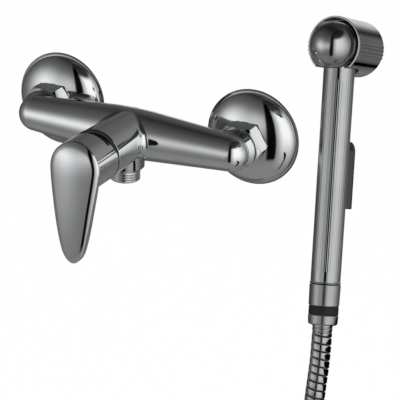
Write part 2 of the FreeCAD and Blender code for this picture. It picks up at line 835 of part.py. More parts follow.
def fluted_wire(radius, z):
    """Round section with shallow straight-sided grooves."""
    points = []
    for k in range(flute_count):
        start = 2 * math.pi * k / flute_count
        step = 2 * math.pi / flute_count
        for share, depth in ((0, 0), (1 - flute_share, 0), (1 - flute_share / 2, flute_depth)):
            angle = start + step * share
            points.append(Vector((radius - depth) * math.cos(angle), (radius - depth) * math.sin(angle), z))
    return Part.makePolygon(points + points[:1])


def handle_radius(depth):
    return handle_top_r + (handle_bottom_r - handle_top_r) * depth / handle_length


def handle():
    top_z, low_z = -handle_top_band, -(handle_length - handle_bottom_band)
    solid = Part.makeLoft([fluted_wire(handle_radius(-low_z), low_z), fluted_wire(handle_radius(-top_z), top_z)],
                          True, True)
    solid = solid.fuse(rod(handle_top_r, top_z, handle_rise - notch_drop))
    solid = solid.fuse(rod(handle_bottom_r, -handle_length, low_z))
    solid = solid.cut(rod(handle_bore_r, -handle_length, 0))
    solid.translate(Vector(0, handle_s, 0))
    return on_handset(solid.cut(button_space()).cut(core_space(seat_gap)))


def hanging_hook():
    """Hook on the handle's rear, open downwards, whose root is cut to the handle's round."""
    inner_s = handle_s + handle_top_r + hook_gap
    outer_s = inner_s + hook_thickness
    root_s = handle_s + handle_bottom_r * 0.6
    round_r = outer_s - handle_s - handle_top_r
    mid = round_r * (1 - math.cos(math.radians(45)))
    inner_top = -hook_top - hook_thickness
    profile = outline([(root_s, -hook_top), (outer_s - round_r, -hook_top),
                       (outer_s, -hook_top - round_r, outer_s - mid, -hook_top - mid),
                       (outer_s, -hook_bottom), (inner_s, -hook_bottom),
                       (inner_s, inner_top - hook_gap),
                       (inner_s - hook_gap, inner_top, inner_s - hook_gap * 0.29, inner_top - hook_gap * 0.29),
                       (root_s, inner_top)])
    solid = profile.extrude(Vector(0, hook_width, 0))
    solid.Placement = Placement(Vector(hook_width / 2, 0, 0), Rotation(Vector(0, 0, 1), 90))
    body = Part.makeCone(handle_bottom_r + seat_gap, handle_top_r + seat_gap, handle_length,
                         Vector(0, handle_s, -handle_length))
    return on_handset(solid.cut(body))


def inlet_adapter():
    high = -(handle_length - adapter_depth)
    solid = rod(handle_bore_r - seat_gap, -handle_length, high)
    solid = solid.fuse(rod(g_three_eighths_r, -adapter_end, -handle_length))
    return down_handle(solid.cut(rod(adapter_bore_r, -adapter_end, high)))


def top_nut():
    solid = turned([(0, -top_nut_end), (top_nut_bottom_r, -top_nut_end), (top_nut_top_r, -top_nut_start - 0.6),
                    (top_nut_top_r - 0.6, -top_nut_start), (0, -top_nut_start)])
    solid = solid.cut(rod(g_three_eighths_r + thread_gap, -top_nut_end + top_nut_wall, -top_nut_start))
    return down_handle(solid.cut(rod(insert_neck_r + running_gap, -top_nut_end, -top_nut_start)))


def top_washer_ring():
    outer = g_three_eighths_r - 0.3
    return down_handle(ring(outer, adapter_bore_r, -adapter_end - top_washer, -adapter_end))


def top_insert():
    flange_z = -adapter_end - top_washer - running_gap
    solid = rod(g_three_eighths_r - 0.2, flange_z - insert_flange, flange_z)
    solid = solid.fuse(rod(insert_neck_r, -hose_collar_end, flange_z))
    solid = solid.fuse(rod(liner_bore_r - 0.03, -hose_collar_end - barb_length, -hose_collar_end))
    return down_handle(solid.cut(rod(insert_bore_r, -hose_collar_end - barb_length, flange_z)))


def swivel_ring():
    return down_handle(ring(swivel_ring_r, insert_neck_r + 0.01, -swivel_ring_end, -top_nut_end - 0.1))


def hose_collar():
    low_r = hose_collar_r - hose_collar_chamfer
    solid = turned([(insert_neck_r + 0.01, -swivel_ring_end), (hose_collar_r + 0.3, -swivel_ring_end),
                    (hose_collar_r, -hose_collar_end + hose_collar_chamfer), (low_r, -hose_collar_end),
                    (insert_neck_r + 0.01, -hose_collar_end)])
    return down_handle(solid)


def top_ferrule():
    solid = turned([(0, -ferrule_end), (ferrule_end_r, -ferrule_end), (ferrule_top_r, -hose_collar_end),
                    (0, -hose_collar_end)])
    return down_handle(solid.cut(rod(liner_r + 0.05, -ferrule_end, -hose_collar_end)))


def handle_axis():
    """Ferrule's lower end and the direction down the handle, in the frame."""
    rotation = handset_rotation()
    origin = Vector(handset_x, handset_y, handset_z + union_offset)
    start = origin + rotation.multVec(Vector(0, handle_s, -ferrule_end))
    return start, rotation.multVec(Vector(0, 0, -1))


def route():
    start, down = handle_axis()
    points = [start, start + down * route_first_run]
    for step in route_steps:
        points.append(points[-1] + Vector(*step))
    return points


def run_path(points):
    """Straight runs joined by tangent arcs, each as large as its two runs allow."""
    edges = []
    last = points[0]
    radii = []
    for before, corner, after in zip(points, points[1:], points[2:]):
        back, ahead = before - corner, after - corner
        reach = 0.45 * min(back.Length, ahead.Length)
        half_turn = (math.pi - back.getAngle(ahead)) / 2
        radii.append(reach / math.tan(half_turn))
        back.normalize()
        ahead.normalize()
        start, end = corner + back * reach, corner + ahead * reach
        weight = math.cos(half_turn)
        middle = (start + end + corner * (2 * weight)) / (2 * (1 + weight))
        edges.append(Part.LineSegment(last, start).toShape())
        edges.append(Part.Arc(start, middle, end).toShape())
        last = end
    edges.append(Part.LineSegment(last, points[-1]).toShape())
    return Part.Wire(edges), radii


def biarc(start, start_way, end, end_way):
    """Two arcs from start to end that keep both directions."""
    gap = end - start
    square = 2 * (1 - start_way.dot(end_way))
    linear = 2 * gap.dot(start_way + end_way)
    reach = (-linear + math.sqrt(linear * linear + 4 * square * gap.dot(gap))) / (2 * square)
    middle = (start + end + (start_way - end_way) * reach) / 2
    edges = []
    for first, corner, last in ((start, start + start_way * reach, middle),
                                (middle, end - end_way * reach, end)):
        weight = (last - first).Length / 2 / reach
        arc_middle = (first + last + corner * (2 * weight)) / (2 * (1 + weight))
        edges.append(Part.Arc(first, arc_middle, last).toShape())
    return edges


def helix_path(radius, pitch, quarters, centre):
    """Helix about Z as biarcs of a quarter turn each."""
    edges = []
    slope = pitch / (2 * math.pi * radius)
    level = math.sqrt(1 + slope * slope)
    for k in range(quarters):
        ends = []
        for step in (k, k + 1):
            angle = math.pi / 2 * step
            point = centre + Vector(radius * math.cos(angle), radius * math.sin(angle), pitch * step / 4)
            way = Vector(-math.sin(angle), math.cos(angle), slope) / level
            ends += [point, way]
        edges += biarc(*ends)
    return Part.Wire(edges)


def coil_path(start):
    """Straight end, turns about Y going down from the right-hand side, and a straight end."""
    down = Vector(0, 0, -1)
    begin = start + down * coil_end_run
    centre = begin - Vector(coil_r, 0, 0)
    edges = [Part.LineSegment(start, begin).toShape()]
    depth = 0.0
    point, way = begin, down
    for k in range(coil_quarters):
        last = k == coil_quarters - 1
        depth += coil_last_quarter if last else coil_pitch / 4
        angle = -math.pi / 2 * (k + 1)
        target = centre + Vector(coil_r * math.cos(angle), depth, coil_r * math.sin(angle))
        slope = 0.0 if last else coil_pitch / (2 * math.pi * coil_r)
        heading = Vector(math.sin(angle), slope, -math.cos(angle))
        heading.normalize()
        edges += biarc(point, way, target, heading)
        point, way = target, heading
    edges.append(Part.LineSegment(point, point + way * coil_end_run).toShape())
    return Part.Wire(edges), point + way * coil_end_run, way, centre


def section(path, radius):
    first = path.Edges[0]
    point, way = first.valueAt(first.FirstParameter), first.tangentAt(first.FirstParameter)
    return Part.Wire(Part.makeCircle(radius, point, way))


def swept(path, radius):
    maker = Part.BRepOffsetAPI.MakePipeShell(path)
    maker.add(section(path, radius))
    maker.build()
    maker.makeSolid()
    return maker.shape()


def path_frames(path, spacing):
    """Points and directions along a path at the given distances."""
    frames = []
    lengths = [edge.Length for edge in path.Edges]
    for distance in spacing:
        rest = distance
        for edge, length in zip(path.Edges, lengths):
            if rest <= length + 1e-9 or edge is path.Edges[-1]:
                break
            rest -= length
        rest = min(rest, length)
        at = edge.getParameterByLength(rest)
        frames.append((edge.valueAt(at), edge.tangentAt(at)))
    return frames


def level_circle(point, way, radius):
    """Circle square to the path whose X axis keeps to one side."""
    side = Vector(1, 0, 0)
    side = side - way * side.dot(way)
    side.normalize()
    other = way.cross(side)
    axes = Matrix(side.x, other.x, way.x, point.x, side.y, other.y, way.y, point.y,
                  side.z, other.z, way.z, point.z, 0, 0, 0, 1)
    circle = Part.makeCircle(radius)
    circle.Placement = Placement(axes)
    return Part.Wire(circle)


def hose_run(path):
    """Ribbed metal cover of the free run, with its bore."""
    total = path.Length
    count = round((total - 2 * hose_r) / rib_pitch)
    step = (total - 2 * hose_r) / count
    spacing, radii = [0.0], [hose_shoulder_r]
    for k in range(count):
        for share, radius in ((0.0, hose_groove_r), (0.14, hose_shoulder_r), (0.5, hose_r),
                              (0.86, hose_shoulder_r)):
            spacing.append(hose_r + step * (k + share))
            radii.append(radius)
    spacing += [total - hose_r, total]
    radii += [hose_groove_r, hose_shoulder_r]
    circles = [level_circle(point, way, radius)
               for (point, way), radius in zip(path_frames(path, spacing), radii)]
    solid = Part.makeLoft(circles, True, True)
    return solid.cut(swept(path, hose_bore_r))


def hollow_sweep(path, outer, inner):
    return swept(path, outer).cut(swept(path, inner))


def least_self_gap(path, diameter):
    """Least distance between turns of a wound path, less the tube's diameter."""
    steps = 240
    points = [point for point, way in path_frames(path, [path.Length * k / steps for k in range(steps + 1)])]
    stride = path.Length / steps
    skip = int(3 * diameter / stride) + 2
    least = min((points[a] - points[b]).Length for a in range(len(points)) for b in range(a + skip, len(points)))
    return least - diameter


def coil_tie(centre):
    """Strap round both passes of the hose at the coil's far side."""
    first = coil_pitch / 2
    second = first + coil_pitch
    low_z = centre.z - tie_width / 2
    rings = []
    for radius in (hose_r + tie_gap + tie_thickness, hose_r + tie_gap):
        x = centre.x - coil_r
        near, far = centre.y + first, centre.y + second
        edges = [Part.LineSegment(Vector(x - radius, near, low_z), Vector(x - radius, far, low_z)).toShape(),
                 Part.Arc(Vector(x - radius, far, low_z), Vector(x, far + radius, low_z),
                          Vector(x + radius, far, low_z)).toShape(),
                 Part.LineSegment(Vector(x + radius, far, low_z), Vector(x + radius, near, low_z)).toShape(),
                 Part.Arc(Vector(x + radius, near, low_z), Vector(x, near - radius, low_z),
                          Vector(x - radius, near, low_z)).toShape()]
        rings.append(Part.Face(Part.Wire(edges)).extrude(Vector(0, 0, tie_width)))
    return rings[0].cut(rings[1])


def along_end(shape, point, way):
    """From a shape along +Z to the free end of the hose."""
    placed = shape.copy()
    placed.Placement = Placement(point, Rotation(Vector(0, 0, 1), way))
    return placed


def end_ferrule():
    return ring(end_ferrule_r, liner_r + 0.05, 0, end_ferrule_length)


def end_insert():
    floor = end_nut_start + end_nut_floor + running_gap
    solid = rod(liner_r, -barb_length / 2, end_ferrule_length).fuse(rod(insert_neck_r, end_ferrule_length, floor))
    solid = solid.fuse(rod(g_half_r - loose_gap, floor, floor + end_insert_flange))
    return solid.cut(rod(insert_bore_r, -barb_length / 2, floor + end_insert_flange))


def end_nut():
    end = end_nut_start + end_nut_length
    solid = hexagon(end_nut_across_flats, end_nut_start, end, 1.2)
    floor = end_nut_start + end_nut_floor
    solid = solid.cut(rod(g_half_r + seat_gap, floor, end))
    solid = solid.cut(rod(end_nut_relief_r, floor, floor + end_nut_relief))
    return solid.cut(rod(insert_neck_r + running_gap, end_nut_start, end))


def end_washer_ring():
    start = end_nut_start + end_nut_floor + running_gap + end_insert_flange
    return ring(g_half_r - loose_gap, end_washer_hole_r, start, start + end_washer)


def build_mixer():
    save("mixer_body", on_mixer(mixer_body()))
    for name, x in (("left", -inlet_spacing / 2), ("right", inlet_spacing / 2)):
        save("wall_union_" + name, on_mixer(wall_union(), x))
        save("rosette_" + name, on_mixer(rosette(), x))
        save("union_nut_" + name, on_mixer(union_nut(), x))
        save("union_washer_" + name, on_mixer(union_washer(), x))
        save("inlet_tail_" + name, on_mixer(inlet_tail(), x))
    save("outlet_nipple", on_mixer(outlet_nipple()))
    save("check_valve", on_mixer(check_valve()))


def build_cartridge():
    base, fixed, moving, driver, flange = cartridge_levels()
    save("cartridge_seal", on_mixer(ported(rod(cartridge_r - 0.5, chamber_floor_t, base), chamber_floor_t, base)))
    save("cartridge_base", on_mixer(ported(rod(cartridge_r - 0.1, base, fixed), base, fixed)))
    disc_end = fixed + fixed_disc_thickness
    save("fixed_disc", on_mixer(ported(rod(fixed_disc_r, fixed, disc_end), fixed, disc_end)))
    save("moving_disc", on_mixer(moving_disc()))
    save("disc_driver", on_mixer(disc_driver()))
    save("cartridge_housing", on_mixer(cartridge_housing()))
    save("carrier", on_mixer(carrier()))
    save("spindle", on_mixer(spindle()))
    save("spindle_pin", on_mixer(cross_pin(pin_r)))
    save("retaining_nut", on_mixer(retaining_nut()))
    save("shroud", on_mixer(shroud()))
    save("lever", on_mixer(lever()))
    save("lever_grub_screw", on_mixer(grub_screw()))


def build_handset():
    save("handle", handle())
    save("valve_body", valve_body())
    save("head_shell", head_shell())
    save("thumb_button", thumb_button())
    save("valve_plunger", valve_plunger())
    save("poppet_seal", poppet_ring())
    save("stem_seal", stem_ring())
    spring_solid, spring_path = spring()
    save("return_spring", spring_solid)
    print("spring gap to itself", round(least_self_gap(spring_path, 2 * spring_wire_r), 2))
    save("spray_seal", spray_seal())
    save("spray_plate", spray_plate())
    save("hanging_hook", hanging_hook())
    save("inlet_adapter", inlet_adapter())
    save("top_nut", top_nut())
    save("top_washer", top_washer_ring())


def build_hose():
    save("top_insert", top_insert())
    save("swivel_ring", swivel_ring())
    save("hose_collar", hose_collar())
    save("top_ferrule", top_ferrule())
    points = route()
    path, radii = run_path(points)
    print("route", [tuple(round(value, 2) for value in point) for point in points])
    print("hose radii", [round(radius, 1) for radius in radii], "run length", round(path.Length, 1))
    run = hose_run(path)
    save("hose_run", run)
    print("hose run volume", round(run.Volume), "plain tube",
          round(math.pi * (hose_r ** 2 - hose_bore_r ** 2) * path.Length))
    save("hose_liner", hollow_sweep(path, liner_r, liner_bore_r))
    coil, end, way, centre = coil_path(points[-1])
    coil_solid = hollow_sweep(coil, hose_r, hose_bore_r)
    save("hose_coil", coil_solid)
    print("coil length", round(coil.Length, 1), "volume", round(coil_solid.Volume), "section times length",
          round(math.pi * (hose_r ** 2 - hose_bore_r ** 2) * coil.Length),
          "gap to itself", round(least_self_gap(coil, 2 * hose_r), 2))
    print("coil centre", centre, "end", end, "way", way)
    save("coil_tie", coil_tie(centre))
    save("end_ferrule", along_end(end_ferrule(), end, way))
    save("end_insert", along_end(end_insert(), end, way))
    save("end_nut", along_end(end_nut(), end, way))
    save("end_washer", along_end(end_washer_ring(), end, way))


build_mixer()
build_cartridge()
build_handset()
build_hose()
for name, shape in saved:
    print(name, "solids", len(shape.Solids), "valid", shape.isValid(), "volume", round(shape.Volume, 1))
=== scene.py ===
import json
import math

import bpy
import numpy as np
from mathutils import Matrix


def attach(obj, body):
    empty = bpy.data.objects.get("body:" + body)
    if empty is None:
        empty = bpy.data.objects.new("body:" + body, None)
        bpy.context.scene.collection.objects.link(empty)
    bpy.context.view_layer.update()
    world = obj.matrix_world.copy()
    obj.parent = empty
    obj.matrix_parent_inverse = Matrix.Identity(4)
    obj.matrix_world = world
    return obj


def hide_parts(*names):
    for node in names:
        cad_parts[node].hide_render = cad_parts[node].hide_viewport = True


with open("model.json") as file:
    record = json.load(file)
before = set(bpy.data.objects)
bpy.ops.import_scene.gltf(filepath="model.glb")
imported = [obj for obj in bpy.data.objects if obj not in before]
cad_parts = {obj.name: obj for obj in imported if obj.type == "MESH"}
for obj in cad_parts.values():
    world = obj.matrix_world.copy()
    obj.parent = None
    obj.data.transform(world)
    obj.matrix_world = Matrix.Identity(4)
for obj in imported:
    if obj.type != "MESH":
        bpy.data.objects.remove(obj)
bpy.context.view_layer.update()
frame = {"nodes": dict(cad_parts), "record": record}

# shapes are worked out in millimetres and made metres when a mesh is built
full = 2 * math.pi  # a whole turn
axisHeight = 6.0  # the bar's axis above the wall inlets
mergeSteps = 2000  # points are merged on a grid with this many steps in a millimetre


def placed(place, ahead, up):
    # matrix of a camera or lamp at a place that looks along ahead: right is ahead x up, its back is minus ahead
    ahead = np.array(ahead) / np.linalg.norm(ahead)
    right = np.cross(ahead, up)
    right /= np.linalg.norm(right)
    turn = np.eye(4)
    turn[:3, :3] = np.column_stack([right, np.cross(right, ahead), -ahead])
    turn[:3, 3] = place
    return Matrix(turn.tolist())


# camera at the photograph's place: a long lens a little above and to the right of the tap
view = {"place": (0.5346, -1.0583, 0.4400), "ahead": (-0.3928, 0.8347, -0.3859), "up": (-0.1974, 0.3333, 0.9219),
        "lens": 162.0, "sensor": 36.0, "near": 0.05, "far": 60.0}


def makeCamera():
    data = bpy.data.cameras.new("viewCamera")
    data.lens, data.sensor_width = view["lens"], view["sensor"]
    data.clip_start, data.clip_end = view["near"], view["far"]
    camera = bpy.data.objects.new("viewCamera", data)
    camera.matrix_world = placed(view["place"], view["ahead"], view["up"])
    bpy.context.collection.objects.link(camera)
    bpy.context.scene.camera = camera


makeCamera()
print("camera ready")


class Sock:
    # a node's output; arithmetic on it adds Math nodes
    def __init__(self, maker, out):
        self.maker, self.out = maker, out

    def op(self, operation, *others):
        return self.maker.node("ShaderNodeMath", {"operation": operation}, dict(enumerate((self,) + others)))

    def reflected(self, operation, other):
        return self.maker.node("ShaderNodeMath", {"operation": operation}, {0: other, 1: self})

    def __add__(self, other):
        return self.op("ADD", other)

    def __sub__(self, other):
        return self.op("SUBTRACT", other)

    def __mul__(self, other):
        return self.op("MULTIPLY", other)

    def __truediv__(self, other):
        return self.op("DIVIDE", other)

    def __neg__(self):
        return self.op("MULTIPLY", -1.0)

    def __rsub__(self, other):
        return self.reflected("SUBTRACT", other)

    def __rtruediv__(self, other):
        return self.reflected("DIVIDE", other)

    __radd__ = __add__
    __rmul__ = __mul__

    def step(self, low, high):
        # 0 below low, 1 above high, smooth between
        settings = {"interpolation_type": "SMOOTHSTEP"}
        return self.maker.node("ShaderNodeMapRange", settings, {0: self, 1: low, 2: high, 3: 0.0, 4: 1.0})

    def band(self, low, start, end, high):
        # 0 below low, 1 from start to end, 0 above high
        return self.step(low, start) * (1 - self.step(end, high))

    def bell(self, centre, width):
        # 1 at centre, falling to 1/e at width
        return (-((self - centre) / width).op("POWER", 2.0)).op("EXPONENT")


class Maker:
    # adds nodes to one tree
    def __init__(self, tree):
        self.tree = tree
        tree.nodes.clear()

    def node(self, kind, settings, inputs, out=0):
        made = self.tree.nodes.new(kind)
        for name, value in settings.items():
            if name != "stops":
                setattr(made, name, value)
        if "stops" in settings:
            ramp = made.color_ramp.elements
            while len(ramp) < len(settings["stops"]):
                ramp.new(0.5)
            for element, (at, shade) in zip(ramp, settings["stops"]):
                element.position, element.color = at, (shade, shade, shade, 1)
        for key, value in inputs.items():
            if isinstance(value, Sock):
                self.tree.links.new(value.out, made.inputs[key])
            else:
                made.inputs[key].default_value = value
        return Sock(self, made.outputs[out]) if len(made.outputs) else None

    def mixed(self, factor, first, second):
        # colour mix of two colours or links
        return self.node("ShaderNodeMix", {"data_type": "RGBA"}, {0: factor, 6: first, 7: second}, 2)

    def noise(self, where, scale, detail):
        return self.node("ShaderNodeTexNoise", {}, {"Vector": where, "Scale": scale, "Detail": detail})


def newMaterial(name, surfaceOf):
    # a material whose surface comes from a function of its maker
    material = bpy.data.materials.new(name)
    material.use_nodes = True
    maker = Maker(material.node_tree)
    maker.node("ShaderNodeOutputMaterial", {}, {"Surface": surfaceOf(maker)})
    return material


finishes = {
    # tone, metallic, roughness, its spread, height of the grain in metres, scale of the grain, how far patches
    # darken; a last number is the specular level
    "chrome": ((0.80, 0.81, 0.82), 1.0, 0.055, 0.035, 6e-6, 140, 0.03),
    "hand_chrome": ((0.60, 0.61, 0.62), 1.0, 0.11, 0.05, 6e-6, 160, 0.04),
    "grip_chrome": ((0.46, 0.465, 0.47), 1.0, 0.08, 0.04, 6e-6, 160, 0.04),
    # dim_chrome is a dark chrome: painted shade on the cup under the lever; the hanging hook takes it too
    "dim_chrome": ((0.10, 0.10, 0.10), 1.0, 0.35, 0.08, 1e-5, 400, 0.05),
    "satin_chrome": ((0.40, 0.405, 0.41), 1.0, 0.24, 0.06, 8e-6, 900, 0.05),
    "hose_metal": ((0.46, 0.465, 0.47), 1.0, 0.12, 0.07, 1e-5, 700, 0.12),
    "brass": ((0.72, 0.55, 0.27), 1.0, 0.26, 0.10, 2e-5, 500, 0.12),
    "steel": ((0.62, 0.62, 0.61), 1.0, 0.28, 0.08, 1e-5, 1200, 0.08),
    "black_plastic": ((0.012, 0.012, 0.013), 0.0, 0.46, 0.12, 3e-5, 2400, 0.25, 0.22),
    "white_plastic": ((0.74, 0.74, 0.71), 0.0, 0.38, 0.10, 2e-5, 1500, 0.06),
    "ceramic": ((0.86, 0.85, 0.81), 0.0, 0.12, 0.05, 1e-5, 1800, 0.04),
    "rubber": ((0.03, 0.03, 0.03), 0.0, 0.62, 0.12, 3e-5, 1500, 0.3),
    "liner": ((0.10, 0.10, 0.10), 0.0, 0.5, 0.12, 2e-5, 1500, 0.2),
}
cloudScale = 38.0  # soft patches, per metre
paintedShadeTone = (0.004, 0.004, 0.004, 1)  # painted shade: the near-black that gaps, grooves and shaded faces are darkened to


def makeFinish(name, tone, metal, rough, spread, bump, grainScale, shade, specular=0.5):
    # tone = dark to light by 0.7 patches + 0.3 grain, then towards near-black by the painted shade each piece stores
    # per point;
    # roughness = rough +- spread / 2 by 0.6 patches + 0.4 grain; the grain moves the normal
    def surface(maker):
        where = maker.node("ShaderNodeTexCoord", {}, {}, "Object")
        patches = maker.noise(where, cloudScale, 4.0).step(0.35, 0.68)
        grain = maker.noise(where, grainScale, 2.0)
        dark = tuple(channel * (1 - 2 * shade) for channel in tone) + (1,)
        light = tuple(min(channel * (1 + shade / 2), 1) for channel in tone) + (1,)
        # painted shade: the piece's per-point attribute pulls the base colour towards near-black
        deep = maker.node("ShaderNodeAttribute", {"attribute_name": "deep"}, {}, "Fac")
        return maker.node("ShaderNodeBsdfPrincipled", {}, {
            "Base Color": maker.mixed(deep * 0.97, maker.mixed(patches * 0.7 + grain * 0.3, dark, light), paintedShadeTone),
            "Metallic": metal, "Specular IOR Level": specular,
            "Roughness": (patches * 0.6 + grain * 0.4) * spread + (rough - spread / 2),
            "Normal": maker.node("ShaderNodeBump", {}, {"Strength": 0.5, "Distance": bump, "Height": grain})})
    return newMaterial(name, surface)


materials = {name: makeFinish(name, *look) for name, look in finishes.items()}
plated = {"inlet_adapter": "hand_chrome", "top_insert": "hand_chrome",  # brass nodes that show plated
          "inlet_tail_left": "chrome", "inlet_tail_right": "chrome"}
slotOf = {part["node"]: part["material_slot"] for part in frame["record"]["subparts"]}
for nodeName, nodeObject in frame["nodes"].items():
    finish = materials[plated.get(nodeName, slotOf[nodeName])]
    for materialSlot in nodeObject.material_slots:
        materialSlot.material = finish
    if not nodeObject.material_slots:
        nodeObject.data.materials.append(finish)
    nodeObject.visible_glossy = False
print("finishes on", len(frame["nodes"]), "nodes")


def axes(origin, x, y, z):
    # a turned place: its origin and its three directions
    return np.array(origin, float), np.column_stack([x, y, z]).astype(float)


def onMixer(x=0.0, v=0.0):
    # the mixer's own directions: along the bar, up, and out from the wall
    return axes((x, 0, v + axisHeight), (1, 0, 0), (0, 0, 1), (0, -1, 0))


# pieces whose mirror image the other metal doesn't show
notMirrored = ("leverShell", "shroudCup", "handleTube", "hoseCover", "innerTube", "topNut", "swivelRing",
               "hoseCollar", "topFerrule", "hangingHook")


class Piece:
    # patches of grid surface that become one mesh; equal points are merged and each patch keeps its own normals
    def __init__(self):
        self.points, self.normals, self.corners, self.deep, self.count = [], [], [], [], 0

    def add(self, points, normals=None, at=None, flip=False, deep=0.0):
        # points is rows x columns x 3; the last argument is painted shade, 1 where a gap, groove or shaded face is
        # darkened
        own = gridNormals(points)
        if normals is None:
            normals = -own if flip else own
        else:
            flip = (own * normals).sum() < 0
        if at is not None:
            origin, turn = at
            points, normals = points @ turn.T + origin, normals @ turn.T
        rows, columns = points.shape[:2]
        quads = gridQuads(rows, columns) + self.count
        self.corners.append(quads[:, ::-1] if flip else quads)
        self.points.append(points.reshape(-1, 3))
        self.normals.append(normals.reshape(-1, 3))
        self.deep.append(np.broadcast_to(deep, (rows, columns)).ravel())
        self.count += rows * columns

    def build(self, name, rides, slotName, nodes, finish=None):
        # a quad with two equal neighbours becomes a triangle, and one with no width is left out
        points, normals = np.concatenate(self.points), np.concatenate(self.normals)
        quads = np.concatenate(self.corners)
        keys, first, same = np.unique(np.round(points * mergeSteps), axis=0, return_index=True,
                                      return_inverse=True)
        same = same.ravel()
        merged = same[quads]
        equalNext = merged == np.roll(merged, -1, axis=1)
        across = (merged[:, 0] == merged[:, 2]) | (merged[:, 1] == merged[:, 3])
        whole = ~equalNext.any(axis=1) & ~across
        single = (equalNext.sum(axis=1) == 1) & ~across
        loops = np.concatenate([quads[whole].ravel(), quads[single][~equalNext[single]]])
        sizes = np.concatenate([np.full(whole.sum(), 4), np.full(single.sum(), 3)])
        starts = np.concatenate([[0], np.cumsum(sizes)[:-1]])
        mesh = bpy.data.meshes.new(name)
        mesh.vertices.add(len(keys))
        mesh.vertices.foreach_set("co", (points[first] / 1000).astype(np.float32).ravel())
        mesh.loops.add(len(loops))
        mesh.loops.foreach_set("vertex_index", same[loops].astype(np.int32))
        mesh.polygons.add(len(sizes))
        mesh.polygons.foreach_set("loop_start", starts.astype(np.int32))
        mesh.update(calc_edges=True)
        mesh.shade_smooth()
        # painted shade per point, kept as a mesh attribute that the finish reads
        deep = np.zeros(len(keys), np.float32)
        np.maximum.at(deep, same, np.concatenate(self.deep))
        mesh.attributes.new("deep", "FLOAT", "POINT").data.foreach_set("value", deep)
        mesh.normals_split_custom_set(normals[loops].tolist())
        made = bpy.data.objects.new(name, mesh)
        mesh.materials.append(materials[finish or slotName])
        bpy.context.collection.objects.link(made)
        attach(made, rides)
        made.visible_glossy = name not in notMirrored
        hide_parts(*nodes)
        return made


def unit(vectors):
    return vectors / np.maximum(np.linalg.norm(vectors, axis=-1, keepdims=True), 1e-12)


def travelled(line):
    # distance from a line's start to each of its points
    return np.concatenate([[0], np.cumsum(np.linalg.norm(np.diff(line, axis=0), axis=1))])


def gridQuads(rows, columns):
    # corner numbers of every cell of a grid whose points are numbered row by row
    index = np.arange(rows * columns).reshape(rows, columns)
    return np.stack([index[:-1, :-1], index[:-1, 1:], index[1:, 1:], index[1:, :-1]], -1).reshape(-1, 4)


def gridNormals(points):
    # cross product of the grid's two differences; a pole takes the mean of the ring beside it
    across = np.gradient(points, axis=1, edge_order=2 if points.shape[1] > 2 else 1)
    along = np.gradient(points, axis=0, edge_order=2 if points.shape[0] > 2 else 1)
    if np.allclose(points[:, 0], points[:, -1], atol=1e-6):
        across[:, 0] = across[:, -1] = (points[:, 1] - points[:, -2]) / 2
    normals = np.cross(across, along)
    for pole, beside in ((0, 1), (-1, -2)):
        if np.linalg.norm(across[pole], axis=-1).max() < 1e-7:
            normals[pole] = unit(normals[beside]).mean(axis=0)
    return unit(normals)


def rounded(corners, turn=12.0):
    # a profile of (radius, height, rounding) corners: straight runs joined by arcs tangent to both,
    # with the normal on the right of the way it goes; a corner without rounding has two normals
    spots = np.array([corner[:2] for corner in corners], float)
    points, normals = [], []
    ways = unit(np.diff(spots, axis=0))
    sides = np.column_stack([ways[:, 1], -ways[:, 0]])
    for k, spot in enumerate(spots):
        radius = corners[k][2] if len(corners[k]) > 2 else 0.0
        if k in (0, len(spots) - 1):
            points.append(spot)
            normals.append(sides[0] if k == 0 else sides[-1])
            continue
        if radius == 0:
            points += [spot, spot]
            normals += [sides[k - 1], sides[k]]
            continue
        before, after = ways[k - 1], ways[k]
        bend = math.atan2(before[0] * after[1] - before[1] * after[0], before @ after)
        sign = 1.0 if bend > 0 else -1.0
        centre = spot - before * radius * math.tan(abs(bend) / 2) - sides[k - 1] * radius * sign
        steps = max(2, math.ceil(abs(math.degrees(bend)) / turn))
        start = math.atan2(sides[k - 1][1], sides[k - 1][0])
        angle = start + bend * np.linspace(0, 1, steps + 1)
        side = np.column_stack([np.cos(angle), np.sin(angle)])
        points += list(centre + side * radius * sign)
        normals += list(side)
    return np.array(points), np.array(normals)


def arc(centre, radius, start, end, steps, tall=None):
    # an arc of a circle or upright ellipse from one angle to another, in degrees, with its outward normals
    angle = np.radians(np.linspace(start, end, steps + 1))
    tall = radius if tall is None else tall
    points = np.column_stack([centre[0] + radius * np.cos(angle), centre[1] + tall * np.sin(angle)])
    normals = unit(np.column_stack([np.cos(angle) * tall, np.sin(angle) * radius]))
    return points, normals


def inward(profile):
    return profile[0], -profile[1]


def joined(*parts):
    return np.concatenate([part[0] for part in parts]), np.concatenate([part[1] for part in parts])


def around(radius, angle, height):
    # (radius cos a, radius sin a, height) on a grid whose columns go round; the last column is the first again
    points = np.stack(np.broadcast_arrays(radius * np.cos(angle), radius * np.sin(angle), height), -1)
    points[:, -1] = points[:, 0]
    return points


def spun(profile, steps):
    # a profile's points and its normals turned about the third axis
    angle = np.linspace(0, full, steps + 1)
    return [around(flat[:, :1], angle, flat[:, 1:]) for flat in profile]


def lathe(piece, profile, at, steps=96, deep=0.0):
    points, normals = spun(profile, steps)
    piece.add(points, normals, at, deep=deep)


def turnedPiece(name, rides, slotName, node, at, steps, profiles, finish=None):
    # a piece from profiles turned about one axis, each with its painted shade
    piece = Piece()
    for profile, shade in profiles:
        lathe(piece, profile, at, steps, shade)
    piece.build(name, rides, slotName, (node,), finish)


def smooth(share):
    # 3 s^2 - 2 s^3
    return share * share * (3 - 2 * share)


def between(first, second, share):
    # the first direction turned towards the second by a share of the angle between them:
    # sin((1 - share) angle) first + sin(share angle) second, made a unit vector
    angle = np.arccos(np.clip((first * second).sum(axis=-1, keepdims=True), -1, 1))
    return unit(np.sin((1 - share) * angle) * first + np.sin(share * angle) * second)


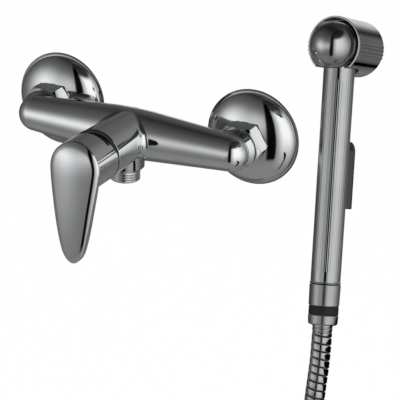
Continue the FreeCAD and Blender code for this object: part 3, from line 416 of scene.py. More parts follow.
def curveThrough(knots, values, startSlope=None, endSlope=None):
    # cubic curve through the values with continuous second derivative; the ends are free or have a given slope
    knots, values = np.asarray(knots, float), np.asarray(values, float).reshape(len(knots), -1)
    count = len(knots)
    gap = np.diff(knots)
    slope = np.diff(values, axis=0) / gap[:, None]
    left, right = np.zeros((count, count)), np.zeros_like(values)
    for k in range(1, count - 1):
        left[k, k - 1], left[k, k], left[k, k + 1] = 1 / gap[k - 1], 2 / gap[k - 1] + 2 / gap[k], 1 / gap[k]
        right[k] = 3 * (slope[k - 1] / gap[k - 1] + slope[k] / gap[k])
    for k, given, side, other in ((0, startSlope, 0, 1), (count - 1, endSlope, -1, count - 2)):
        left[k, k] = 1.0 if given is not None else 2.0
        left[k, other] = 0.0 if given is not None else 1.0
        right[k] = given if given is not None else 3 * slope[side]
    speeds = np.linalg.solve(left, right)

    def at(where):
        k = np.clip(np.searchsorted(knots, where, side="right") - 1, 0, count - 2)
        h = gap[k][..., None]
        s = ((where - knots[k]) / gap[k])[..., None]
        value = (values[k] * (1 + 2 * s) * (1 - s) ** 2 + values[k + 1] * s * s * (3 - 2 * s)
                 + h * speeds[k] * s * (1 - s) ** 2 - h * speeds[k + 1] * s * s * (1 - s))
        rate = ((values[k + 1] - values[k]) / h * 6 * s * (1 - s) + speeds[k] * (1 - s) * (1 - 3 * s)
                + speeds[k + 1] * s * (3 * s - 2))
        return value, rate
    return at


def hexOutline(acrossFlats, soft):
    # hexagon with corners at 0, 60, ... degrees: each corner's arc about its centre, then the straight run to the
    # next centre, both moved out by the rounding; points and normals, closed
    def away(angle):
        return np.stack([np.cos(angle), np.sin(angle)], -1)
    corner = np.arange(6)[:, None] * math.pi / 3
    centre, after = (away(corner + turn) * (acrossFlats / 2 - soft) / math.cos(math.pi / 6)
                     for turn in (0, math.pi / 3))
    share = np.concatenate([np.zeros(6), np.linspace(0, 1, 12)[1:-1]])[:, None]
    normals = away(np.concatenate([corner + np.linspace(-0.5, 0.5, 6) * math.pi / 3,
                                   np.broadcast_to(corner + math.pi / 6, (6, 10))], 1))
    points = centre + (after - centre) * share + normals * soft
    return [np.concatenate([flat.reshape(-1, 2), flat[0, :1]]) for flat in (points, normals)]


def hexNut(piece, at, size):
    # hexagon whose corners are turned off by a cone at both ends: where the outline is outside the cone's circle,
    # the face drops by (radius - circle) / chamfer * drop, so each side ends in an arc
    flats, low, high, chamfer, bore, boreDepth, mouth = size
    outline, sides = hexOutline(flats, 0.5)
    corner = flats / math.sqrt(3)
    drop = (corner - flats / 2 + 0.2) * 0.6
    radius = np.linalg.norm(outline, axis=1)
    away = outline / radius[:, None]
    rim = away * np.minimum(radius, corner - chamfer)[:, None]
    rise = np.maximum(radius - (corner - chamfer), 0) / chamfer * drop
    rings = [np.column_stack([spots, np.broadcast_to(height, len(spots))]) for spots, height in (
        (away * mouth, low), (rim, low), (outline, low + rise), (outline, high - rise), (rim, high),
        (away * bore, high))]
    facings = [unit(np.column_stack([out, np.full(len(outline), up)])) for out, up in (
        (away * 0, -1.0), (away * drop, -chamfer), (sides, 0.0), (away * drop, chamfer), (away * 0, 1.0))]
    for start, end, facing in zip(rings, rings[1:], facings):
        piece.add(np.stack([start, end]), np.stack([facing, facing]), at)
    lathe(piece, rounded([(bore, high), (bore, high - boreDepth), (mouth, high - boreDepth), (mouth, low)]), at,
          len(outline) - 1)


def threadPatch(piece, at, crest, pitch, low, high, depth, runOut=1.2, steps=72, perTurn=14):
    # outside thread: the radius falls and rises once in each pitch along a helix, and runs out at both ends;
    # fall = 1.35 |2 phase - 1| - 0.2 within 0 and 1, so that crests and roots are flat
    rows = int((high - low) / pitch * perTurn) + 1
    z = np.linspace(low, high, rows)[:, None]
    angle = np.linspace(0, full, steps + 1)[None, :]
    phase = (z / pitch + angle / full) % 1.0
    fall = np.clip(1.35 * np.abs(2 * phase - 1) - 0.2, 0, 1)
    fade = np.clip(np.minimum(z - low, high - z) / runOut, 0, 1)
    points = around(crest - depth * fall * (0.25 + 0.75 * fade), angle, z)
    # painted shade in the thread's roots
    piece.add(points, None, at, deep=np.clip(fall * 1.6 - 0.9, 0, 1) * 0.85)


# hose: one smooth line from the ferrule down and round the coil, with a strip-wound cover
hose = {"radius": 6.5, "pitch": 4.9, "groove": 0.72, "linerRadius": 5.3, "coilRadius": 68.0, "coilPitch": 14.2,
        "perTurn": 16, "turns": 2.25, "tailShift": 12.0, "runLength": 143.5,
        "route": [(167.75, -87.45, -82.29), (169.82, -92.86, -97.2), (170.7, -99.6, -115.0),
                  (170.75, -103.6, -140.2), (169.8, -104.9, -168.2), (169.0, -105.2, -196.2),
                  (169.0, -105.2, -223.2)],
        "coilCentre": (101.0, -105.2, -236.2), "end": (88.0, -64.8, -304.2),
        "strip": [(0.0, 1.0), (0.04, 1.0), (0.06, 0.85), (0.075, 0.3), (0.09, 0.08), (0.14, 0.02), (0.35, 0.0),
                  (0.6, 0.0), (0.82, 0.02), (0.90, 0.08), (0.92, 0.3), (0.94, 0.85), (0.96, 1.0)],
        "coilStops": [0, 2, 4, 6, 8, 9, 11]}


def hosePoints():
    # route, then coil (radius cos a, a's share of the pitch, -radius sin a), its last quarter turn shifted back
    # by 3 s^2 - 2 s^3; the radius is over cos(step / 2), so that the curve between the points has the true one
    step = full / hose["perTurn"]
    outside = hose["coilRadius"] / math.cos(step / 2)
    x, y, z = hose["coilCentre"]
    turned = step * (np.arange(int(hose["turns"] * hose["perTurn"])) + 0.5)
    wholeTurns = full * int(hose["turns"])
    late = np.clip((turned - wholeTurns) / (full / 4), 0, 1)
    depth = np.minimum(turned, wholeTurns) / full * hose["coilPitch"]
    depth = depth + hose["tailShift"] * late * late * (3 - 2 * late)
    coil = np.column_stack([x + outside * np.cos(turned), y + depth, z - outside * np.sin(turned)])
    coil[-1, 1] = hose["end"][1]
    return np.concatenate([hose["route"], coil, [hose["end"]]]) / 1000


def hoseLine():
    # the route as a NURBS spline, read back as the points of its own line
    points = hosePoints()
    curve = bpy.data.curves.new("hoseRoute", "CURVE")
    curve.dimensions = "3D"
    spline = curve.splines.new("NURBS")
    spline.points.add(len(points) - 1)
    spline.points.foreach_set("co", np.column_stack([points, np.ones(len(points))]).ravel())
    spline.order_u = 3
    spline.use_endpoint_u = True
    spline.resolution_u = 24
    holder = bpy.data.objects.new("hoseRoute", curve)
    bpy.context.collection.objects.link(holder)
    bpy.context.view_layer.update()
    mesh = bpy.data.meshes.new_from_object(holder)
    line = np.zeros(3 * len(mesh.vertices))
    mesh.vertices.foreach_get("co", line)
    bpy.data.objects.remove(holder)
    bpy.data.meshes.remove(mesh)
    line = line.reshape(-1, 3) * 1000
    return line if np.linalg.norm(line[0] - hose["route"][0]) < 1 else line[::-1]


def ringsAlong(line, distance, angle):
    # at each distance along the line: its point, across cos a + side sin a, and its way
    gone = travelled(line)
    way = unit(np.gradient(line, axis=0))
    spot, ahead = (np.stack([np.interp(distance, gone, values[:, k]) for k in range(3)], -1)
                   for values in (line, way))
    ahead = unit(ahead)
    back = np.array([0.0, 1.0, 0.0])
    side = unit(back - ahead * (ahead @ back)[..., None])
    across = np.cross(side, ahead)
    return spot, across * np.cos(angle)[None, :, None] + side * np.sin(angle)[None, :, None], ahead


def woundCover(piece, line, low, high, columns, stops):
    # a tube whose grid follows the strip's helix: distance = (turn + stop - angle / full turn) * pitch,
    # radius = hose radius - groove * fall at the stop
    pitch = hose["pitch"]
    turns = np.arange(math.floor(low / pitch) - 1, math.ceil(high / pitch) + 2)
    base = (turns[:, None] + stops[None, :, 0]).ravel()
    fall = np.tile(stops[:, 1], len(turns))[:, None]
    angle = np.linspace(0, full, columns + 1)
    distance = np.clip((base[:, None] - angle[None, :] / full) * pitch, low, high)
    radius = hose["radius"] - hose["groove"] * fall
    spot, out, ahead = ringsAlong(line, distance, angle)
    slope = np.gradient(radius[:, 0], base * pitch)
    normals = unit(out - ahead * slope[:, None, None])
    # painted shade in the grooves between the strip's turns
    piece.add(spot + radius[..., None] * out, normals, deep=np.clip((fall - 0.25) * 1.6, 0, 1))


def plainTube(piece, line, length, radius, columns=32, gap=3.0):
    # point of the line + radius * (across cos a + side sin a)
    distance = np.linspace(0.0, length, int(length / gap) + 2)
    angle = np.linspace(0, full, columns + 1)
    spot, out, _ = ringsAlong(line, np.broadcast_to(distance[:, None], (len(distance), columns + 1)), angle)
    piece.add(spot + radius * out, out)


def makeHose():
    line = hoseLine()
    total = travelled(line)[-1]
    fine = np.array(hose["strip"])
    cover = Piece()
    woundCover(cover, line, 0.0, hose["runLength"], 64, fine)
    woundCover(cover, line, hose["runLength"], total, 36, fine[hose["coilStops"]])
    made = cover.build("hoseCover", "hose", "hose_metal", ("hose_run", "hose_coil"))
    inner = Piece()
    plainTube(inner, line, total, hose["linerRadius"])
    tube = inner.build("innerTube", "hose", "liner", ("hose_liner",))
    print("hose", round(total, 1), "mm")


makeHose()


# mixer body: bar, housing, fillet between them, elbow ends, and the outlet's boss with its nipple
body = {"barT": 36.0, "middle": 17.0, "bulge": 0.3, "middleHalf": 14.0, "soften": 5.0, "end": 12.6, "half": 75.0,
        "housingBack": 16.6, "housingFront": 18.2, "housingT": 86.6, "rimRound": 1.0, "rimDrop": 0.35,
        "rimIn": 0.25, "mouth": 14.6, "mouthT": 79.5, "hidden": (8.0, 30.0), "rimShade": 0.12, "blend": 5.0,
        "blendShade": {"middle": 150, "half": 72, "soft": 35, "deep": 0.7}, "collar": 14.6, "collarFace": 28.6,
        "collarLow": 1.3, "elbowStart": -10, "recess": 18.2, "outletT": 44.2, "boss": 13.2, "bossFoot": 10.68,
        "bossDrop": 23.6, "bossSlant": 2.6, "bossBore": (9.95, 14.0), "bossTop": 4.0, "bossShade": 0.55,
        "nipple": 10.48, "nippleRoot": 10.21, "nippleTip": 9.6, "nippleBore": 7.6, "nippleOut": 9.9, "drop": 31.0,
        "tipLength": 0.6, "pitch": 1.814, "threadDepth": 1.0}


def barRadius(x):
    # a slight barrel in the middle and straight tapers to the ends, mixed linearly where they meet
    x = np.abs(x)
    middle, half, near = body["middle"], body["middleHalf"], body["soften"]
    taper = middle + (body["end"] - middle) * (x - half) / (body["half"] - half)
    barrel = middle + body["bulge"] * (1 - (x / half) ** 2)
    soft = np.clip((x - half + near) / (2 * near), 0, 1)
    return np.where(np.abs(x - half) < near, barrel * (1 - soft) + taper * soft, np.where(x < half, barrel, taper))


def housingRadius(t):
    # a cone: the radius at t, and its growth per millimetre
    grow = (body["housingFront"] - body["housingBack"]) / (body["housingT"] - 1 - body["barT"])
    return body["housingBack"] + grow * (t - body["barT"]), grow


def addBar(piece, rows=301, columns=193):
    # (x, r sin a, barT + r cos a) with r the bar's radius at x; the back is cut flat round both collars
    x = np.linspace(-body["half"], body["half"], rows)[:, None]
    angle = np.linspace(0, full, columns)[None, :]
    radius = barRadius(x)
    points = np.stack(np.broadcast_arrays(x, radius * np.sin(angle), body["barT"] + radius * np.cos(angle)), -1)
    points[:, -1] = points[:, 0]
    normals = -gridNormals(points)
    near = np.hypot(np.abs(points[..., 0]) - body["half"], points[..., 1]) < body["recess"]
    low = near & (points[..., 2] < body["collarFace"])
    points[..., 2][low] = body["collarFace"]
    normals[low] = (0.0, 0.0, -1.0)
    piece.add(points, normals, onMixer())


def addHousing(piece):
    # the cone, its rounded rim and its mouth, turned about the cartridge's axis; the rim's face gets painted shade
    rim, front, mouth = body["housingFront"], body["housingT"], body["mouth"]
    hiddenRadius, hiddenT = body["hidden"]
    wall = rounded([(hiddenRadius, hiddenT), (housingRadius(hiddenT)[0], hiddenT),
                    (rim, front - body["rimDrop"], body["rimRound"]), (rim - body["rimIn"], front, 0.1),
                    (mouth, front, 0.3), (mouth, body["mouthT"]), (0.0, body["mouthT"])])
    lathe(piece, wall, onMixer(), 192, (wall[0][:, 1:] > front - body["rimShade"]) * 1.0)


def addBlend(piece):
    # rolling ball: its centre is one blend radius off both the housing's cone and the bar, found by repeating
    # reach = cone + ball, t = bar + root of ((bar's radius + ball)^2 - height^2); an arc joins the two contacts
    turn = np.linspace(0, full, 385)
    ball, bar, shade = body["blend"], body["barT"], body["blendShade"]
    out = np.stack([np.cos(turn), np.sin(turn), np.zeros_like(turn)], -1)
    t = np.full_like(turn, bar + 8.0)
    for _ in range(40):
        radius, grow = housingRadius(t)
        tilt = math.hypot(1, grow)
        centre = out * (radius + ball * tilt)[:, None]
        level = barRadius(centre[:, 0]) + ball
        t = bar + np.sqrt(np.maximum(level ** 2 - centre[:, 1] ** 2, 0.0))
    centre[:, 2] = t
    toHousing = -(out + np.array([0, 0, -grow])) / tilt
    slope = (barRadius(centre[:, 0] + 0.01) - barRadius(centre[:, 0] - 0.01)) / 0.02
    toBar = -unit(np.stack([-slope * level, centre[:, 1], centre[:, 2] - bar], -1))
    share = np.linspace(0, 1, 15)[:, None, None]
    mix = between(toBar, toHousing, share)
    # painted shade on one side of the fillet, round 150 degrees, strongest midway across it
    off = np.abs(turn - math.radians(shade["middle"]))
    shaded = np.clip((math.radians(shade["half"]) - off) / math.radians(shade["soft"]), 0, 1) * shade["deep"]
    piece.add(centre + ball * mix, -mix, onMixer(), deep=shaded[None, :] * np.sin(share[..., 0] * math.pi))


def addElbow(piece, x):
    # collar, neck and a ball end, turned about the inlet's axis
    face, ball, bar, collar = body["collarFace"], body["end"], body["barT"], body["collar"]
    low = math.radians(body["elbowStart"])
    skirt = rounded([(0.0, face), (collar, face, 0.45), (collar, face + body["collarLow"], 0.35),
                     (ball * math.cos(low), bar + ball * math.sin(low))])
    lathe(piece, joined(skirt, arc((0, bar), ball, body["elbowStart"], 90, 30)), onMixer(x), 144)


def addBoss(piece, hang):
    # turned about the outlet's axis, which points down; the side gets painted shade
    drop, foot = body["bossDrop"], body["bossFoot"]
    bore, deepest = body["bossBore"]
    profile = rounded([(0.0, body["bossTop"]), (body["boss"], body["bossTop"]),
                       (body["boss"], drop - body["bossSlant"], 0.5), (foot, drop, 0.2), (bore, drop),
                       (bore, deepest), (0.0, deepest)])
    lathe(piece, profile, hang, 128, (profile[0][:, :1] > foot + 0.02) * body["bossShade"])


def makeNipple(hang):
    # thread on the outside; the tip, bore and hidden root are turned
    piece = Piece()
    drop, bore, tip = body["drop"], body["nippleBore"], body["drop"] - body["tipLength"]
    threadPatch(piece, hang, body["nipple"], body["pitch"], body["bossDrop"] + 0.02, tip, body["threadDepth"])
    deepest = body["bossBore"][1]
    lathe(piece, rounded([(body["nippleRoot"], tip), (body["nippleTip"], drop, 0.15), (bore, drop, 0.2),
                          (bore, deepest), (body["nippleOut"], deepest), (body["nippleOut"], body["bossDrop"])]),
          hang, 72)
    piece.build("outletNipple", "mixer", "chrome", ("outlet_nipple",))


def makeBody():
    piece = Piece()
    hang = axes((0, -body["outletT"], axisHeight), (1, 0, 0), (0, -1, 0), (0, 0, -1))
    addBar(piece)
    addHousing(piece)
    addBlend(piece)
    for x in (body["half"], -body["half"]):
        addElbow(piece, x)
    addBoss(piece, hang)
    piece.build("mixerBody", "mixer", "chrome", ("mixer_body",))
    makeNipple(hang)


makeBody()
print("mixer body done")


# wall side: rosettes, wall unions and union nuts
wallSide = {"rosette": 34.0, "lip": 1.8, "lipHeight": 1.3, "height": 14.3, "crown": 15.2, "hole": 13.37,
            "wall": 1.1, "lipShade": 0.78, "stubCrest": 10.48, "pitch": 1.814, "threadDepth": 1.1,
            "thread": (-15.2, 2.5), "stub": [(7.0, 3.0), (7.0, -16.0, 0.2), (9.6, -16.0, 0.15), (10.2, -15.2)],
            "shoulder": [(0.0, 2.5), (14.5, 2.5, 0.3), (14.5, 6.5, 0.3), (13.22, 6.5), (13.22, 20.9), (9.0, 20.9),
                         (9.0, 5.0), (0.0, 5.0)],
            "nut": (30.0, 15.0, 27.9, 1.9, 10.2, 2.5, 13.25)}  # flats, ends, chamfer, bore, its depth, mouth


def makeRosette(side, x):
    # turned: hole, an upright elliptic arc inside, the lip, the same arc one wall further out, and the crown's edge
    rim, crown, hole, wall = wallSide["rosette"], wallSide["crown"], wallSide["hole"], wallSide["wall"]
    foot, base, top = rim - wallSide["lip"], wallSide["lipHeight"], wallSide["height"]
    end = math.degrees(math.acos(crown / foot))
    tall = (top - base) / math.sin(math.radians(end))
    inside = inward(arc((0, base), foot - wall, math.degrees(math.acos(crown / (foot - wall))), 0, 24, tall - wall))
    start = tuple(inside[0][0])
    profile = joined(
        rounded([(hole + 0.3, top), (hole, top - 0.3), (hole, start[1]), start]), inside,
        rounded([(foot - wall, base), (foot - wall, 0.0), (rim, 0.0, 0.2), (rim, base, 0.45), (foot, base)]),
        arc((0, base), foot, 0, end, 48, tall), rounded([(crown, top), (hole + 0.3, top)]))
    # the lip outside the crown's foot gets painted shade
    turnedPiece("rosette" + side.title(), "mixer", "chrome", "rosette_" + side, onMixer(x), 192,
                [(profile, (profile[0][:, :1] > foot + 0.2) * wallSide["lipShade"])])


def makeUnion(side, x):
    # threaded stub and shoulder, turned about the inlet's axis, and the hexagonal nut on it
    piece = Piece()
    stub = onMixer(x, -axisHeight)
    threadPatch(piece, stub, wallSide["stubCrest"], wallSide["pitch"], *wallSide["thread"], wallSide["threadDepth"])
    lathe(piece, rounded(wallSide["stub"]), stub, 72)
    lathe(piece, rounded(wallSide["shoulder"]), onMixer(x))
    piece.build("wallUnion" + side.title(), "mixer", "brass", ("wall_union_" + side,), "hand_chrome")
    nut = Piece()
    hexNut(nut, onMixer(x), wallSide["nut"])
    nut.build("unionNut" + side.title(), "mixer", "chrome", ("union_nut_" + side,))


for side, x in (("left", -body["half"]), ("right", body["half"])):
    makeRosette(side, x)
    makeUnion(side, x)
print("wall side done")


# cup under the lever
shroud = {"start": 86.6, "hole": 10.0, "radius": 16.3, "pivot": 83.0, "wall": 1.0, "foot": 17.4, "footHeight": 0.12}


def makeShroud():
    # turned: a flat foot and two arcs about the lever's pivot, one wall apart
    start, hole, radius, pivot = shroud["start"], shroud["hole"], shroud["radius"], shroud["pivot"]
    within, foot = radius - shroud["wall"], shroud["foot"]
    low = math.degrees(math.asin((start - pivot) / radius))
    outer = arc((0, pivot), radius, low, math.degrees(math.acos(hole / radius)), 24)
    inner = inward(arc((0, pivot), within, math.degrees(math.acos(hole / within)), low, 24))
    ring = rounded([(inner[0][-1][0], start), (foot, start), (foot, start + shroud["footHeight"], 0.05),
                    tuple(outer[0][0])])
    # the cup takes the dark chrome as painted shade under the lever
    turnedPiece("shroudCup", "mixer", "chrome", "shroud", onMixer(), 128, [(joined(ring, outer, inner), 0.0)],
                "dim_chrome")


makeShroud()


# lever: skirt over the shroud and a drop-shaped paddle with a crowned front
lever = {"rim": 88.0, "radius": 18.2, "wall": 1.6, "cavity": 101.0, "back": 112.5, "crownRadius": 50.0,
         "front": 1.8, "edge": 0.55, "border": 3.6, "borderRadius": 9.5, "startAngle": -6.0,
         "sides": [(14.7, -25.0), (11.0, -46.0), (8.9, -55.0), (5.9, -62.3)], "tip": -66.5,
         "crown": [(-72.0, 117.6), (-50.0, 119.4), (-30.0, 120.0), (-10.0, 119.8), (4.0, 118.8), (14.0, 116.0),
                   (23.0, 110.5)],
         "slotTop": 95.0, "slotHalf": 48.0, "wedgeBase": 87.044, "wedgeSlope": 0.36397,
         "rimZone": 2.0, "shadeZone": 3.0, "edgeGrow": (0.5, 1.5), "tipGather": 1.35, "middleGather": 1.4}
crownLine = curveThrough(*zip(*lever["crown"]))


def crownAt(u, v, inside, outward):
    # height and normal of the front: the centre line less the rise of an arc across, and a border zone that
    # falls by (border - inside)^2 / 2 borderRadius towards the outline
    value, rate = crownLine(v)
    bow = np.sqrt(lever["crownRadius"] ** 2 - u * u)
    over = np.maximum(lever["border"] - inside, 0.0) / lever["borderRadius"]
    height = value[..., 0] - lever["crownRadius"] + bow - over * over * lever["borderRadius"] / 2
    tilt = np.stack([u / bow, -rate[..., 0]], -1) + outward * over[..., None]
    return height, unit(np.concatenate([tilt, np.ones_like(tilt[..., :1])], -1))


def leverOutline():
    # right half of the outline from the top of the head to the tip: an arc of the head, then a smooth curve
    # through the sides' points, closer together towards the tip; with outward normals
    start = math.radians(lever["startAngle"])
    head = np.radians(90 - np.linspace(0, 90 - lever["startAngle"], 97))
    right = [(lever["radius"] * math.cos(start), lever["radius"] * math.sin(start))] + lever["sides"]
    through = np.array(right + [(0, lever["tip"])] + [(-u, v) for u, v in reversed(right)])
    knots = travelled(through)
    slope = np.array([math.sin(start), -math.cos(start)])
    curve = curveThrough(knots, through, slope, np.array([slope[0], -slope[1]]))
    spots, ways = curve(knots[len(right)] * (1 - (1 - np.linspace(0, 1, 141)[1:]) ** lever["tipGather"]))
    ways = unit(ways)
    circle = np.column_stack([np.cos(head), np.sin(head)])
    points = np.concatenate([circle * lever["radius"], spots])
    normals = np.concatenate([circle, np.column_stack([-ways[:, 1], ways[:, 0]])])
    points[0, 0] = points[-1, 0] = 0.0
    normals[-1] = (0, -1)
    return points, normals, len(head)


def makeLever():
    # strips round half the paddle, each one point per outline point: the back edge's quarter circle, the side,
    # a ball's arc that meets the crown tangentially, and the crown shrinking towards the middle line; then mirrored
    points, sides, headCount = leverOutline()
    ball, back = lever["front"], lever["back"]
    inset = points - sides * ball
    contact, atEdge = inset, np.zeros(len(points))
    for _ in range(12):
        height, up = crownAt(contact[:, 0], contact[:, 1], atEdge, sides)
        contact = inset + ball * up[:, :2]
    height, up = crownAt(contact[:, 0], contact[:, 1], atEdge, sides)
    centre = np.column_stack([contact, height]) - ball * up
    outward = np.column_stack([sides, np.zeros(len(sides))])
    away = np.linalg.norm(points, axis=1) - lever["radius"]
    begin, run = lever["edgeGrow"]
    edge = (lever["edge"] * smooth(np.clip((away - begin) / run, 0, 1)))[:, None]
    down = np.array([0.0, 0.0, -1.0])
    edgeSides = between(down, outward, np.linspace(0, 1, 6)[:, None, None])
    ballSides = between(outward, up, np.linspace(0, 1, 11)[1:, None, None])
    strips = list(np.column_stack([points - sides * edge, back + edge]) + edgeSides * edge)
    strips += [np.column_stack([points, height - ball * up[:, 2]])] + list(centre + ball * ballSides)
    facings = list(edgeSides) + [outward] + list(ballSides)
    for share in np.linspace(0, 1, 25)[1:] ** lever["middleGather"]:
        u, v = contact[:, 0] * (1 - share), contact[:, 1]
        away = np.hypot(u[:, None] - contact[None, :, 0], v[:, None] - contact[None, :, 1])
        nearestSide = sides[away.argmin(axis=1)] * ((0, 1) if share == 1 else (1, 1))
        height, side = crownAt(u, v, away.min(axis=1), nearestSide)
        strips.append(np.column_stack([u, v, height]))
        facings.append(side)
    half, facing = np.stack(strips, 1), np.stack(facings, 1)
    mirror = np.array([-1.0, 1.0, 1.0])
    piece = Piece()
    piece.add(np.concatenate([half, (half * mirror)[:, -2::-1]], 1),
              np.concatenate([facing, (facing * mirror)[:, -2::-1]], 1), onMixer())
    under = np.column_stack([points - sides * edge, np.full(len(points), back)])[headCount - 1:]
    share = np.linspace(1, -1, 25)[None, :, None]
    plane = under[:, None, :] * np.concatenate([share, np.ones_like(share), np.ones_like(share)], -1)
    piece.add(plane, np.broadcast_to(down, plane.shape), onMixer())
    addSkirt(piece)
    piece.build("leverShell", "lever", "chrome", ("lever",))


def addSkirt(piece):
    # turned cup whose rim's height varies: level in front, base + slope * r sin a behind for the tilt, and a slot
    # over the top; the rim's inner edge gets painted shade
    outer, inner, rim, cavity = lever["radius"], lever["radius"] - lever["wall"], lever["rim"], lever["cavity"]
    fine = [90 + sign * lever["slotHalf"] + step for sign in (-1, 1)
            for step in (-0.8, -0.4, -0.15, -0.0001, 0.0001, 0.15, 0.4, 0.8)]
    degrees = np.unique(np.concatenate([np.arange(0, 360, 2.0), fine, [360.0]]))
    angle = np.radians(degrees)[None, :]
    shape, _ = rounded([(0.0, cavity), (inner, cavity, 1.0), (inner, rim, 0.2), (outer, rim, 0.18),
                        (outer, lever["back"])])
    radius, level = shape[:, :1], shape[:, 1:]
    slope = np.maximum(rim, lever["wedgeBase"] + lever["wedgeSlope"] * radius * np.sin(angle))
    inSlot = np.abs((degrees - 90 + 180) % 360 - 180) < lever["slotHalf"]
    shift = np.where(inSlot, lever["slotTop"], slope) - rim
    points = around(radius, angle, level + np.where(level < rim + lever["rimZone"], shift, 0.0))
    top = len(shape) - 1
    # rows that get painted shade: the inner wall and the rim's inner edge
    gap = (radius[:top] < outer - 0.12) & (level[:top] < rim + lever["shadeZone"])
    piece.add(points[:top], None, onMixer(), deep=gap * 1.0)
    out = around(1.0, angle, 0.0)[0]
    piece.add(points[top - 1:], np.stack([out, out]), onMixer())


makeLever()
print("lever done")


# hand shower: its own directions are across, towards the spray face, and up the handle
shower = {"origin": (142.3, -34.0, 92.4), "turn": -10.2, "nose": -18.4, "lean": -10.8, "handleAway": 9.5}


def turnAbout(axis, degrees):
    # right-handed turn about one of the three directions
    turn = np.eye(3)
    first, second = (axis + 1) % 3, (axis + 2) % 3
    turn[first, first] = turn[second, second] = math.cos(math.radians(degrees))
    turn[second, first] = math.sin(math.radians(degrees))
    turn[first, second] = -turn[second, first]
    return turn


showerTurn = turnAbout(2, shower["turn"]) @ turnAbout(0, shower["nose"]) @ turnAbout(1, shower["lean"])
showerAt = np.array(shower["origin"]), showerTurn
handleAt = showerAt[0] + showerTurn @ np.array([0, shower["handleAway"], 0]), showerTurn
headAt = showerAt[0], showerTurn @ np.column_stack([(1, 0, 0), (0, 0, -1), (0, 1, 0)])
downAt = handleAt[0], showerTurn @ np.column_stack([(1, 0, 0), (0, -1, 0), (0, 0, -1)])

# head shell and the ball-shaped thumb button in it; "flat" and the last number of "ring" (radius, low, high) are
# where the button is cut towards the handle; a painted shade is (start, run, strength), the ring's (run, strength,
# loss)
head = {"front": 18.7, "back": 18.2, "length": 34.0, "wall": 1.1, "lip": 15.2, "lipDepth": 1.2, "notch": 12.4,
        "rimZone": 3.0, "rib": 0.6, "ribs": 4, "ribPitch": 7.6, "ribMiddle": -7.0, "ribReach": 2.2, "sink": 0.15,
        "ball": 14.3, "ballAt": -1.2, "flat": -13.8, "ring": (15.1, 1.8, 2.2, 12.1),
        "stem": [(6.8, 2.2), (6.8, 1.0), (0.0, 1.0)],
        "edgeShade": (0.55, 0.45, 0.35), "topShade": (3.0, 8.0, 0.4), "ringShade": (12.0, 0.85, 0.6)}


def makeShell():
    # turned cylinder with grip ribs, each raised by the root of (rib^2 - distance^2), less its sink;
    # its near end is cut by the handle's notch: start = handle's centre + root of (notch^2 - across^2)
    wall, length, lip, front, back = head["wall"], head["length"], head["lip"], head["front"], head["back"]
    ribs = [side + sign * (head["ribMiddle"] + head["ribPitch"] * (k - 1.5)) for k in range(head["ribs"])
            for side, sign in ((0, 1), (180, -1))]
    half = math.degrees(math.asin(head["notch"] / front))
    fine = [rib + step for rib in ribs for step in np.linspace(-head["ribReach"], head["ribReach"], 13)]
    fine += [270 + sign * half + step for sign in (-1, 1) for step in (-0.5, -0.15, -0.0001, 0.0001, 0.15, 0.5)]
    fine += list(np.linspace(270 - half, 270 + half, 61))
    degrees = np.unique(np.round(np.concatenate([np.arange(0, 360, 2.0), np.array(fine) % 360, [360.0]]), 5))
    angle = np.radians(degrees)[None, :]
    bump = np.zeros_like(angle)
    for rib in ribs:
        off = (degrees - rib + 180) % 360 - 180
        rise = head["rib"] ** 2 - (np.radians(off) * front) ** 2
        bump = np.maximum(bump, np.sqrt(np.maximum(rise, 0)) - head["sink"])
    floor = length - head["lipDepth"]
    profile, _ = rounded([(lip, floor), (back - wall, floor), (front - wall, 0.0, 0.25), (front, 0.0, 0.4),
                          (back, length, 0.5), (lip, length, 0.2), (lip, floor)])
    radius, along = profile[:, :1], profile[:, 1:]
    x = front * np.cos(angle)
    below = (np.sin(angle) < 0) & (np.abs(x) < head["notch"])
    start = np.where(below, shower["handleAway"] + np.sqrt(np.maximum(head["notch"] ** 2 - x ** 2, 0)), 0.0)
    near = along < head["rimZone"]
    # the head's axis runs the other way round from the handle's, so up is minus the second direction
    points = around(radius + np.where(radius > back - 0.02, bump, 0.0), -angle, along + np.where(near, start, 0.0))
    rim = np.nonzero(near[:, 0])[0]
    piece = Piece()
    for first, last in ((0, rim[0]), (rim[0], rim[-1]), (rim[-1], rim[-1] + 1), (rim[-1] + 1, len(points) - 1)):
        piece.add(points[first:last + 1], None, headAt, flip=True)
    piece.build("headShell", "handset", "chrome", ("head_shell",), "hand_chrome")


def makeButton():
    # a turned ball with a ring at its foot, both cut flat towards the handle; the ball's edge and top and the ring
    # get painted shade, darker where the shell would shade them
    ball, at, flat = head["ball"], head["ballAt"], -head["flat"]
    ring, low, high, cut = head["ring"]
    dome = arc((0, at), ball, -90, math.degrees(math.asin((low - at) / ball)), 52)
    profile = joined(dome, rounded([tuple(dome[0][-1]), (ring, low, 0.15), (ring, high, 0.15)] + head["stem"]))
    points, facing = spun(profile, 160)
    under = points[..., 1] > flat
    points[..., 1][under] = flat
    facing[under] = (0, 1, 0)
    radius, level = profile[0][:, :1], profile[0][:, 1:]
    over = (np.abs(radius - ring - 0.1) < 0.4) & (level > low - 0.1) & (points[..., 1] > cut)
    points[..., 1][over] = cut
    away, up = np.hypot(points[..., 0], points[..., 1]) / ball, -points[..., 1]
    # painted shade: darker towards the ball's edge and its top, and on the ring
    begin, run, strength = head["edgeShade"]
    shaded = np.clip((away - begin) / run, 0, 1) * strength
    begin, run, strength = head["topShade"]
    shaded = shaded + np.clip((up - begin) / run, 0, 1) * strength
    run, strength, loss = head["ringShade"]
    shaded = np.where(away > 1.02, strength - loss * np.clip(up / run, 0, 1), shaded)
    piece = Piece()
    piece.add(points, facing, headAt, deep=np.clip(shaded, 0, 0.8))
    piece.build("thumbButton", "button", "chrome", ("thumb_button",), "hand_chrome")


makeShell()
makeButton()


